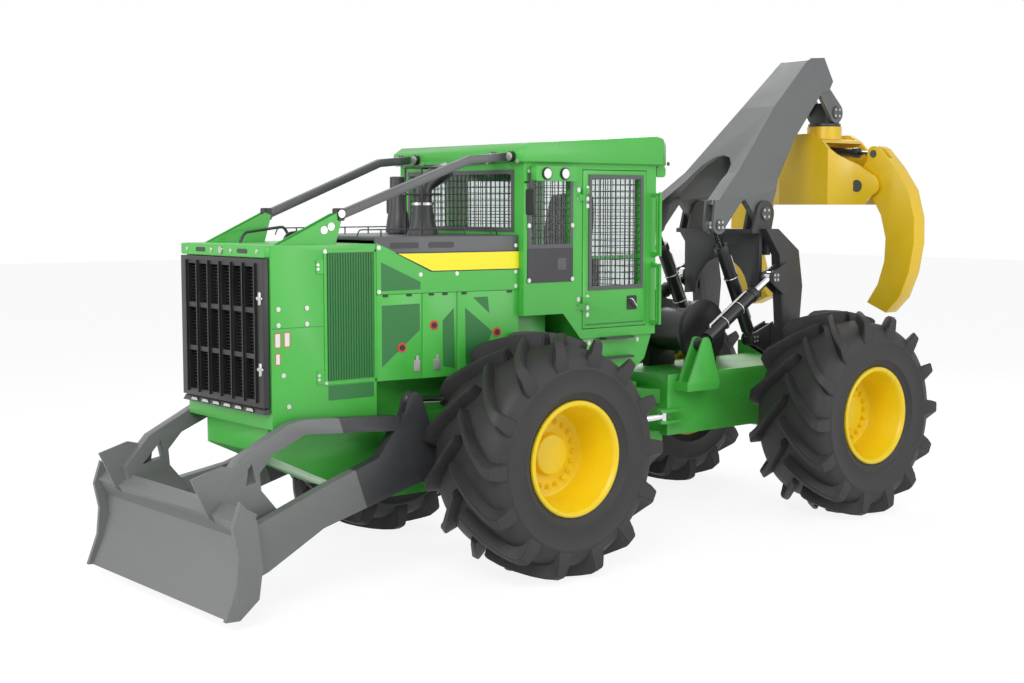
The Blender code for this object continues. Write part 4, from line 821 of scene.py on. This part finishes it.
def hood_sheet(name, outline, side, proud, thick, material, edge=0.0):
    """A thin plate on the slanting side of the hood, from (y, z) points."""
    shape = bmesh.new()
    rings = [[shape.verts.new(at(side * (hood_half(y) + out), y, z)) for y, z in outline]
             for out in (proud - thick, proud)]
    count = len(outline)
    for i in range(count):
        j = (i + 1) % count
        shape.faces.new((rings[0][i], rings[0][j], rings[1][j], rings[1][i]))
    shape.faces.new(rings[0])
    shape.faces.new(rings[1])
    bmesh.ops.recalc_face_normals(shape, faces=shape.faces[:])
    if edge:
        bmesh.ops.bevel(shape, geom=shape.edges[:], offset=edge, segments=2, affect="EDGES",
                        clamp_overlap=True)
    return piece_of(name, shape, material, "front_body")


FIELDS = (
    ("strip", [(-1.125, 2.155), (-0.80, 2.160), (-0.80, 2.215), (-1.125, 2.365)]),
    ("front", [(-1.120, 1.60), (-0.805, 1.86), (-0.805, 2.055), (-1.120, 2.05)]),
    ("middle", [(-0.610, 1.58), (-0.505, 1.56), (-0.515, 2.01), (-0.610, 1.92)]),
    ("rear", [(-0.410, 1.58), (-0.27, 1.60), (-0.175, 1.82), (-0.415, 2.01)]),
    ("small", [(-0.345, 2.085), (-0.200, 1.960), (-0.215, 2.087)]),
)
for side_name, side in SIDES:
    hood_sheet(f"hood_strip_{side_name}", [(-1.163, 2.132), (0.062, 2.132), (0.062, 2.296), (-0.700, 2.296),
                                           (-1.163, 2.505)], side, 0.004, 0.004, GREEN, edge=0.001)
    hood_sheet(f"stripe_edge_{side_name}", [(-0.712, 2.286), (0.063, 2.286), (0.063, 2.432), (-1.015, 2.432)],
               side, 0.005, 0.003, BLACK)
    hood_sheet(f"stripe_{side_name}", [(-0.700, 2.294), (0.063, 2.294), (0.063, 2.424), (-0.985, 2.424)],
               side, 0.0062, 0.003, STRIPE_YELLOW)
    for k, (y0, y1) in enumerate(((-1.05, -0.81), (-0.73, -0.51))):
        hood_sheet(f"hood_slot_{side_name}_{k}", rounded(y0, y1, 2.462, 2.505, 0.016), side, 0.0012, 0.003,
                   CHARCOAL)
    for part, outline in FIELDS:
        proud = 0.0052 if part == "strip" else 0.0012
        hood_sheet(f"pressed_field_{part}_{side_name}", outline, side, proud, 0.003, DARK_GREEN)
    for k, (y, z) in enumerate(((-0.956, 1.737), (-0.685, 1.89), (-0.133, 1.815))):
        hood_sheet(f"catch_ring_{side_name}_{k}", disc(y, z, 0.036), side, 0.004, 0.004, DECAL_RED)
        hood_sheet(f"catch_{side_name}_{k}", disc(y, z, 0.020), side, 0.010, 0.009, BLACK)
    for k, y in enumerate((-0.835, -0.665)):
        hood_sheet(f"draw_latch_{side_name}_{k}", rounded(y - 0.026, y + 0.026, 1.555, 1.640, 0.008), side,
                   0.010,
                   0.010, STEEL, 0.002)
        hood_sheet(f"draw_latch_hook_{side_name}_{k}", rounded(y - 0.012, y + 0.012, 1.625, 1.672, 0.006),
                   side,
                   0.016, 0.012, STEEL, 0.002)
    for k, y in enumerate((-1.09, -0.895, -0.706, -0.590, -0.425, -0.02)):
        hood_sheet(f"panel_hook_{side_name}_{k}", rounded(y - 0.022, y + 0.022, 2.112, 2.128, 0.005), side,
                   0.006,
                   0.006, BLACK)
    places = [(-1.145, 2.47), (-1.145, 2.15), (-0.80, 2.268), (-0.49, 2.268), (0.035, 2.47), (0.035, 2.27),
              (0.035, 2.16)]
    bolts(f"hood_bolts_{side_name}", [at(side * (hood_half(y) + 0.006), y, z) for y, z in places], (side,
            -0.1, 0),
          "front_body", 0.011)
    # The low dark channel between the lift-off panels and the frame.
    sheet_piece(f"side_channel_{side_name}", "X", [(-1.16, 1.24), (0.02, 1.24), (0.02, 1.495), (-1.16,
            1.495)],
                side * 0.432, side * 0.436, DARK_GREEN, "front_body", 0)

# ---- Exhaust and intake ----------------------------------------------------------------------
# A black conical intake on the hood, with a bright band, under a rubber elbow; a wire hoop
# guards it, and the muffler's pipe stands behind it.

stack_low, stack_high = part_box("exhaust_stack")
STACK_Y = (stack_low.y + stack_high.y) / 2 - AXLE
STACK_X = (stack_low.x + stack_high.x) / 2


def turned_up(name, profile, x, y, material, steps=32):
    """A round piece on an upright axis, from (radius, z) points."""
    shape = spun([(r, z) for r, z in profile], steps)
    bmesh.ops.transform(shape, matrix=Matrix.Rotation(-pi / 2, 4, "Y"), verts=shape.verts[:])
    bmesh.ops.translate(shape, vec=at(x, y, 0), verts=shape.verts[:])
    bmesh.ops.recalc_face_normals(shape, faces=shape.faces[:])
    return piece_of(name, shape, material, "front_body")


turned_up("intake_cone", [(0, 2.552), (0.125, 2.552), (0.118, 2.575), (0.088, 2.66), (0.078, 2.76), (0.078,
        2.80), (0, 2.80)],
          0.22, -0.46, CHARCOAL)
turned_up("intake_band", [(0.0, 2.776), (0.084, 2.776), (0.084, 2.796), (0.0, 2.796)], 0.22, -0.46, STEEL)
pipe("intake_elbow", [(0.22, -0.46, 2.79), (0.22, -0.46, 2.93), (0.22, -0.30, 3.02), (0.10, -0.16, 3.04)],
     0.074,
     BLACK, "front_body")
turned_up("muffler_lagging", [(0, 2.56), (0.10, 2.56), (0.10, 2.58), (0.082, 2.70), (0.066, 2.74), (0.064,
        2.995),
                              (0.050, 2.999), (0.0, 2.995)], STACK_X, STACK_Y, CHARCOAL)
for k, z in enumerate((2.86, 3.06)):
    hoop = [(0.22 + 0.13 * cos(a), -0.46 + 0.15 * sin(a),
             z) for a in [radians(-150 + 30 * i) for i in range(11)]]
    pipe(f"intake_hoop_{k}", hoop, 0.008, BLACK, "front_body", bend=False)
for k, x in enumerate((0.12, 0.33)):
    pipe(f"intake_hoop_post_{k}", [(x, -0.55, 2.555), (x, -0.55, 3.06)], 0.008, BLACK, "front_body")

# ---- Cab -------------------------------------------------------------------------------------
# A welded green cab with bolted window frames of grey steel, black screens of crossed bars and
# clear panes inside them. Work lamps, handrails, a mirror, hinge bolts and catches are bolted on.

CAB_SIDE, SHIELD_Y, BACK_Y = 0.80, 0.065, 1.49


def pane_material():
    """Hard clear plastic, faintly scratched, that lets the light straight through."""
    material = bpy.data.materials.new("clear_pane")
    material.use_nodes = True
    tree = material.node_tree
    tree.nodes.clear()
    clear = tree.nodes.new("ShaderNodeBsdfTransparent")
    clear.inputs["Color"].default_value = (0.93, 0.96, 0.95, 1)
    gloss = tree.nodes.new("ShaderNodeBsdfGlossy")
    gloss.inputs["Roughness"].default_value = 0.08
    place = tree.nodes.new("ShaderNodeTexCoord")
    scratch = tree.nodes.new("ShaderNodeTexNoise")
    scratch.inputs["Scale"].default_value = 30
    tree.links.new(place.outputs["Object"], scratch.inputs["Vector"])
    shine = tree.nodes.new("ShaderNodeMapRange")
    shine.inputs["To Min"].default_value = 0.05
    shine.inputs["To Max"].default_value = 0.13
    tree.links.new(scratch.outputs["Fac"], shine.inputs["Value"])
    mix = tree.nodes.new("ShaderNodeMixShader")
    out = tree.nodes.new("ShaderNodeOutputMaterial")
    tree.links.new(shine.outputs["Result"], mix.inputs[0])
    tree.links.new(clear.outputs[0], mix.inputs[1])
    tree.links.new(gloss.outputs[0], mix.inputs[2])
    tree.links.new(mix.outputs[0], out.inputs[0])
    return material


PANE = pane_material()
SCREEN_BAR = 0.006


def window(name, axis, across, u, v, body, cell=0.052, rail=0.028):
    """Frame, screen and pane of one opening; u and v are its spans, across its (inner, outer) faces."""
    (u0, u1), (v0, v1), (inner, outer) = u, v, across
    for part, (a, b), (c, d) in (("low", (u0 - rail, u1 + rail), (v0 - rail, v0 + 0.006)),
                                 ("high", (u0 - rail, u1 + rail), (v1 - 0.006, v1 + rail)),
                                 ("front", (u0 - rail, u0 + 0.006), (v0 + 0.006, v1 - 0.006)),
                                 ("rear", (u1 - 0.006, u1 + rail), (v0 + 0.006, v1 - 0.006))):
        sheet_piece(f"{name}_frame_{part}", axis, [(a, c), (b, c), (b, d), (a, d)], inner, outer, HOOD_GREY,
                    body, 0.002)
    depth = inner - (outer - inner) * 2.2
    middle = (inner + depth) / 2
    columns, rows = int((u1 - u0) / cell), int((v1 - v0) / cell)
    gap_u, gap_v = (u1 - u0) / columns, (v1 - v0) / rows
    spot = {"X": lambda p, q: at(middle, p, q), "Y": lambda p, q: at(p, middle, q)}[axis]
    step = {"X": Vector((0, gap_u, 0)), "Y": Vector((gap_u, 0, 0))}[axis]
    upright = (SCREEN_BAR, SCREEN_BAR, v1 - v0)
    crossbar = {"X": (SCREEN_BAR, u1 - u0, SCREEN_BAR), "Y": (u1 - u0, SCREEN_BAR, SCREEN_BAR)}[axis]
    bars_in_row(f"{name}_uprights", columns - 1, spot(u0 + gap_u, (v0 + v1) / 2), step, upright, BLACK, body)
    bars_in_row(f"{name}_crossbars", rows - 1, spot((u0 + u1) / 2, v0 + gap_v), (0, 0, gap_v), crossbar,
                BLACK,
                body)
    sheet_piece(f"{name}_pane", axis, [(u0 + 0.002, v0 + 0.002), (u1 - 0.002, v0 + 0.002), (u1 - 0.002,
            v1 - 0.002),
                                       (u0 + 0.002, v1 - 0.002)], depth - (outer - inner) * 0.8,
                                       depth - (outer - inner) * 0.5,
                PANE, body, 0)


for side_name, side in SIDES:
    face = side * CAB_SIDE
    window(f"corner_window_{side_name}", "X", (face, face + side * 0.008), (0.13, 0.54), (2.47, 3.02),
           "front_body")
    sheet_piece(f"corner_window_foot_{side_name}", "X", rounded(0.10, 0.57, 2.18, 2.445, 0.01),
                face - side * 0.02,
                face + side * 0.006, CHARCOAL, "front_body", 0.002)
    sheet_piece(f"blank_plate_{side_name}", "X", rounded(0.405, 0.495, 2.275, 2.365, 0.006),
                face + side * 0.006, face + side * 0.0075, HOOD_GREY, "front_body", 0)
    bolts(f"corner_bolts_{side_name}", [at(face + side * 0.009, y, z) for y, z in
                                        ((0.112, 2.20), (0.558, 2.20), (0.112, 3.035), (0.558, 3.035),
                                         (0.112, 2.62), (0.558, 2.62))],
          (side, 0, 0), "front_body")
    door = f"door_{side_name}"
    skin = face + side * 0.004
    window(f"door_window_{side_name}", "X", (skin, skin + side * 0.008), (0.76, 1.31), (2.13, 2.99), door)
    bars_in_row(f"door_window_rail_{side_name}", 1, at(face - side * 0.035, 1.035, 2.36), (0, 0, 0.1), (0.02,
            0.545, 0.026),
                GREEN, door)
    bolts(f"door_bolts_{side_name}", [at(skin + side * 0.004, y, z) for z in (1.91, 1.965, 2.05, 2.77, 2.825,
            2.91)
                                      for y in (0.72,)], (side, 0, 0), door, 0.013)
    bolts(f"hinge_bolts_{side_name}", [at(face + side * 0.003, 0.628, z) for z in (1.965, 2.035, 2.825,
            2.895)],
          (side, 0, 0), "front_body", 0.013)
    sheet_piece(f"door_catch_plate_{side_name}", "X", rounded(1.16, 1.27, 1.93, 2.045, 0.012), skin,
                skin + side * 0.006,
                BLACK, door, 0.002)
    pipe(f"door_catch_{side_name}", [(skin + side * 0.006, 1.185, 2.02), (skin + side * 0.035, 1.19, 2.02),
                                     (skin + side * 0.035, 1.245, 1.955), (skin + side * 0.006, 1.25,
                                             1.955)], 0.007,
         STEEL, door)
    sheet_piece(f"door_lower_swage_{side_name}", "X", rounded(0.70, 1.35, 1.825, 1.835, 0.003), skin,
                skin + side * 0.003,
                DARK_GREEN, door, 0)
    for k, (low, high) in enumerate(((1.80, 2.30), (2.36, 2.86))):
        pipe(f"cab_handrail_{side_name}_{k}", [(face, 1.455, low), (face + side * 0.055, 1.455, low + 0.01),
                                               (face + side * 0.055, 1.455, high - 0.01), (face, 1.455,
                                                       high)], 0.013,
             GREEN, "front_body")
    sheet_piece(f"lifting_eye_{side_name}", "X", rounded(1.53, 1.64, 3.005, 3.098, 0.03), side * 0.745,
                side * 0.765,
                GREEN, "front_body", 0.003)
    sheet_piece(f"work_lamp_box_{side_name}", "X", rounded(0.13, 0.55, 2.96, 3.075, 0.01),
                face + side * 0.008,
                face + side * 0.070, GREEN, "front_body", 0.006)
    for k, y in enumerate((0.235, 0.42)):
        sheet_piece(f"work_lamp_rim_{side_name}_{k}", "X", disc(y, 3.017, 0.048), face + side * 0.068,
                    face + side * 0.084, BLACK, "front_body", 0.004)
        sheet_piece(f"work_lamp_{side_name}_{k}", "X", disc(y, 3.017, 0.038), face + side * 0.080,
                    face + side * 0.0875, STEEL, "front_body", 0.002)
    for k, x in enumerate((0.50, 0.72)):
        sheet_piece(f"roof_lamp_{side_name}_{k}", "Y", disc(side * x, 3.145, 0.042), -0.012, 0.020,
                    BLACK, "front_body", 0.004)
        sheet_piece(f"roof_lamp_lens_{side_name}_{k}", "Y", disc(side * x, 3.145, 0.034), -0.018, -0.010,
                    STEEL, "front_body", 0.002)
    pipe(f"mirror_arm_{side_name}", [(face, 0.08, 2.95), (side * 0.905, 0.04, 2.95), (side * 0.905, 0.04,
            2.88)], 0.008,
         BLACK, "front_body")
    sheet_piece(f"mirror_{side_name}", "Y", rounded(*sorted((side * 0.865, side * 0.955)), 2.70, 2.90, 0.02),
                0.025, 0.050,
                BLACK, "front_body", 0.008)
    sheet_piece(f"mirror_glass_{side_name}", "Y", rounded(*sorted((side * 0.873, side * 0.947)), 2.71, 2.89,
                                                          0.015), 0.050,
                0.0525, CHROME, "front_body", 0)
    for k, z in enumerate((0.0, 0.16)):
        sheet_piece(f"cab_step_{side_name}_{k}", "Z", [(face, 0.86), (face + side * 0.06, 0.88),
                                                       (face + side * 0.06, 1.20),
                                                       (face, 1.22)], 1.545 + z, 1.562 + z, CHARCOAL,
                                                       "front_body", 0.003)
    bolts(f"skirt_bolts_{side_name}", [at(side * 0.784, y, z) for y, z in ((0.76, 1.68), (0.76, 1.56), (1.30,
            1.68), (1.12, 1.44))],
          (side, 0, 0), "front_body", 0.013)
window("windshield", "Y", (SHIELD_Y, SHIELD_Y - 0.008), (-0.66, 0.66), (2.60, 3.02), "front_body")
window("backlight", "Y", (BACK_Y, BACK_Y + 0.008), (-0.60, 0.60), (2.00, 3.00), "front_body")
roof_edge = [at(x, 0.016, 3.11) for x in (-0.78, -0.42, 0, 0.42, 0.78)] + [at(x, 1.735, 3.12) for x in (-0.7,
        -0.35, 0, 0.35, 0.7)]
bolts("roof_bolts_front", roof_edge[:5], (0, -1, 0), "front_body")
bolts("roof_bolts_rear", roof_edge[5:], (0, 1, 0), "front_body")

# ---- Seat and controls -----------------------------------------------------------------------
# A moulded foam seat in black woven cloth, on a black base with a pod of levers at each arm,
# and a small steering wheel on a leaning column.


def woven(name, colour):
    """A close woven cloth, with the light caught by its threads."""
    material = bpy.data.materials.new(name)
    material.use_nodes = True
    tree = material.node_tree
    shader = tree.nodes["Principled BSDF"]
    shader.inputs["Roughness"].default_value = 0.85
    shader.inputs["Sheen Weight"].default_value = 0.3
    place = tree.nodes.new("ShaderNodeTexCoord")
    wave = tree.nodes.new("ShaderNodeTexWave")
    wave.inputs["Scale"].default_value = 160
    wave.inputs["Distortion"].default_value = 1.5
    patch = tree.nodes.new("ShaderNodeTexNoise")
    patch.inputs["Scale"].default_value = 8
    for texture in (wave, patch):
        tree.links.new(place.outputs["Object"], texture.inputs["Vector"])
    tone = tree.nodes.new("ShaderNodeMixRGB")
    tone.inputs["Color1"].default_value = (*[c * 0.7 for c in colour], 1)
    tone.inputs["Color2"].default_value = (*[c * 1.4 for c in colour], 1)
    tree.links.new(patch.outputs["Fac"], tone.inputs["Fac"])
    tree.links.new(tone.outputs["Color"], shader.inputs["Base Color"])
    bump = tree.nodes.new("ShaderNodeBump")
    bump.inputs["Strength"].default_value = 0.3
    bump.inputs["Distance"].default_value = 0.001
    tree.links.new(wave.outputs["Fac"], bump.inputs["Height"])
    tree.links.new(bump.outputs["Normal"], shader.inputs["Normal"])
    return material


CLOTH = woven("seat_cloth", (0.035, 0.035, 0.040))
seat_low, seat_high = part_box("seat")


CORNER_ROUND = 0.06  # share of its half size that a corner is drawn in
SEAM_DEPTH = 0.05  # share of its half size that a seam is drawn in


def cushion(name, low, high, lean=0.0):
    """A stuffed foam block with round corners, pulled in at two seams."""
    shape = bmesh.new()
    bmesh.ops.create_cube(shape, size=2)
    bmesh.ops.subdivide_edges(shape, edges=shape.edges[:], cuts=14, use_grid_fill=True)
    size, middle = (high - low) / 2, (high + low) / 2
    for vert in shape.verts:
        x, y, z = vert.co
        round_off = 1 - CORNER_ROUND * (x * x * y * y + y * y * z * z + x * x * z * z)
        seam = 1 - SEAM_DEPTH * sum(seam_dip(x, s) for s in (-0.5, 0.5))
        vert.co = Vector((x * size.x * round_off, y * size.y * round_off * seam,
                          z * size.z * round_off * seam))
        vert.co.y += lean * vert.co.z
        vert.co += middle
    return stuffed(name, shape)


def seam_dip(x, place, width=0.07):
    """1 on a seam, 0 away from it."""
    return max(0.0, 1 - abs(x - place) / width)


def stuffed(name, shape):
    """A closed cloth cover made into a cushion piece riding on the front body."""
    bmesh.ops.recalc_face_normals(shape, faces=shape.faces[:])
    piece = piece_of(name, shape, CLOTH, "front_body", 60)
    return piece


seat_span = seat_high - seat_low
base_cushion = cushion("seat_cushion", Vector((seat_low.x, seat_low.y, seat_low.z)),
                       Vector((seat_high.x, seat_high.y - seat_span.y * 0.18, seat_low.z + 0.15)))
cushion("seat_back", Vector((seat_low.x + 0.015, seat_high.y - seat_span.y * 0.40, seat_low.z + 0.14)),
                       Vector((seat_high.x - 0.015, seat_high.y - seat_span.y * 0.16, seat_high.z)),
                       lean=0.13)
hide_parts("seat")
column = [(0, 0.30, 2.02), (0, 0.42, 2.44)]
pipe("steering_column", column, 0.03, BLACK, "front_body", bend=False)
wheel_ring_points = [(0.17 * cos(2 * pi * k / 24), 0.42 + 0.16 * sin(2 * pi * k / 24),
                      2.455 + 0.05 * sin(2 * pi * k / 24))
                     for k in range(25)]
pipe("steering_wheel", wheel_ring_points, 0.013, BLACK, "front_body", bend=False)
for k in range(3):
    a = 2 * pi * k / 3 + pi / 2
    pipe(f"steering_wheel_spoke_{k}", [(0, 0.42, 2.44), (0.17 * cos(a), 0.42 + 0.16 * sin(a),
                                                         2.455 + 0.05 * sin(a))], 0.008,
         BLACK, "front_body", bend=False)
for side_name, side in SIDES:
    for k, y in enumerate((0.80, 0.87)):
        x = side * (0.385 + 0.05 * k)
        pipe(f"lever_{side_name}_{k}", [(x, y, 2.30), (x, y - 0.01, 2.42)], 0.008, STEEL, "front_body",
             bend=False)
        pipe(f"lever_knob_{side_name}_{k}", [(x, y - 0.01, 2.41), (x, y - 0.012, 2.455)], 0.019, BLACK,
             "front_body",
             bend=False)

# ---- Arch, boom and grapple ------------------------------------------------------------------
# Dark grey arch and lighter grey boom, with bolted pin caps, bright oil tubes and clamp bands on the
# cylinders, and a yellow grapple with capped tong pins.

for side_name, side in SIDES:
    for name, place, radius, body, colour in (
        ("boom_pin_cap", (side * 0.466, 3.25, 2.70), 0.062, "arch", HOOD_GREY),
        ("arch_pin_cap", (side * 0.466, 3.55, 1.22), 0.085, "rear_body", CHARCOAL),
        ("boom_eye_cap", (side * 0.441, 2.66, 2.60), 0.050, "boom", HOOD_GREY),
        ("boom_base_cap", (side * 0.4355, 3.17, 1.55), 0.040, "arch", CHARCOAL),
        ("arch_eye_cap", (side * 0.601, 3.24, 2.12), 0.045, "arch", HOOD_GREY),
        ("swing_pin_cap", (side * 0.146, 4.66, 3.68), 0.062, "boom", HOOD_GREY),
    ):
        x, y, z = place
        sheet_piece(f"{name}_{side_name}", "X", disc(y, z, radius, 28), x, x + side * 0.012, colour, body,
                    0.003)
        ring = [at(x + side * 0.014, y + radius * 0.68 * cos(a), z + radius * 0.68 * sin(a))
                for a in (radians(45), radians(135), radians(225), radians(315))]
        bolts(f"{name}_bolts_{side_name}", ring, (side, 0, 0), body, 0.009, 0.010)
    # The cylinders' bright transfer tubes and clamp bands.
    for name, x, foot, eye, barrel, body in (
        ("arch", 0.54, (2.33, 1.56), (3.24, 2.12), 0.058, "arch_barrels"),
        ("boom", 0.375, (3.17, 1.55), (2.66, 2.60), 0.058, "boom_barrels"),
        ("blade", 0.665, (0.0, 1.30), (-0.90, 1.35), 0.055, "blade_barrels"),
    ):
        ey, ez = eye[0] - foot[0], eye[1] - foot[1]
        length = hypot(ey, ez)
        ey, ez = ey / length, ez / length
        up = (-ez, ey) if ey > 0 else (ez, -ey)
        reach = barrel + 0.020
        start, end = 0.17, {"arch": 0.72, "boom": 0.82, "blade": 0.48}[name]
        tube = [(side * x, foot[0] + ey * start + up[0] * barrel, foot[1] + ez * start + up[1] * barrel),
                (side * x, foot[0] + ey * (start + 0.01) + up[0] * reach,
                 foot[1] + ez * (start + 0.01) + up[1] * reach),
                (side * x, foot[0] + ey * end + up[0] * reach, foot[1] + ez * end + up[1] * reach),
                (side * x, foot[0] + ey * (end + 0.01) + up[0] * barrel,
                 foot[1] + ez * (end + 0.01) + up[1] * barrel)]
        pipe(f"{name}_oil_tube_{side_name}", tube, 0.011, STEEL, body)
        for k, share in enumerate((0.30, 0.72)):
            d = start + (end - start) * share
            band = [(side * x + (barrel + 0.005) * cos(2 * pi * i / 20),
                     foot[0] + ey * d + up[0] * (barrel + 0.005) * sin(2 * pi * i / 20),
                     foot[1] + ez * d + up[1] * (barrel + 0.005) * sin(2 * pi * i / 20)) for i in range(21)]
            pipe(f"{name}_clamp_{side_name}_{k}", band, 0.006, STEEL, body, bend=False)
for side_name, side in SIDES:
    for k, way in enumerate((-1, 1)):
        out = 4.66 + way * 0.162
        sheet_piece(f"tong_pin_cap_{side_name}_{k}", "Y", disc(side * 0.53, 2.96, 0.058), out - way * 0.006,
                    out + way * 0.008,
                    HOOD_GREY, "grapple_body", 0.002)
        sheet_piece(f"tong_eye_cap_{side_name}_{k}", "Y", disc(side * 0.66, 3.265, 0.036), 4.66 + way * 0.084,
                    4.66 + way * 0.094, HOOD_GREY, f"tong_{side_name}", 0.002)

# ---- Blade -----------------------------------------------------------------------------------
# Grey plate; its push arms are painted darker behind a slanted line across the middle, as painted shade.

blade_tree = BLADE_GREY.node_tree
paint = blade_tree.nodes["Principled BSDF"].inputs["Base Color"]
unshaded_paint = paint.links[0].from_socket
spot = blade_tree.nodes.new("ShaderNodeTexCoord")
apart = blade_tree.nodes.new("ShaderNodeSeparateXYZ")
blade_tree.links.new(spot.outputs["Object"], apart.inputs[0])
slant = blade_tree.nodes.new("ShaderNodeMath")
slant.operation = "MULTIPLY_ADD"
slant.inputs[1].default_value = 0.35
blade_tree.links.new(apart.outputs["Z"], slant.inputs[0])
blade_tree.links.new(apart.outputs["Y"], slant.inputs[2])
behind = blade_tree.nodes.new("ShaderNodeMath")
behind.operation = "GREATER_THAN"
behind.inputs[1].default_value = AXLE - 1.12
blade_tree.links.new(slant.outputs[0], behind.inputs[0])
# Painted shade: behind the slanted line the blade's grey is swapped for this near-black colour.
painted_shade = blade_tree.nodes.new("ShaderNodeMixRGB")
painted_shade.inputs["Color2"].default_value = (0.040, 0.041, 0.044, 1)
blade_tree.links.new(behind.outputs[0], painted_shade.inputs["Fac"])
blade_tree.links.new(unshaded_paint, painted_shade.inputs["Color1"])
blade_tree.links.new(painted_shade.outputs["Color"], paint)
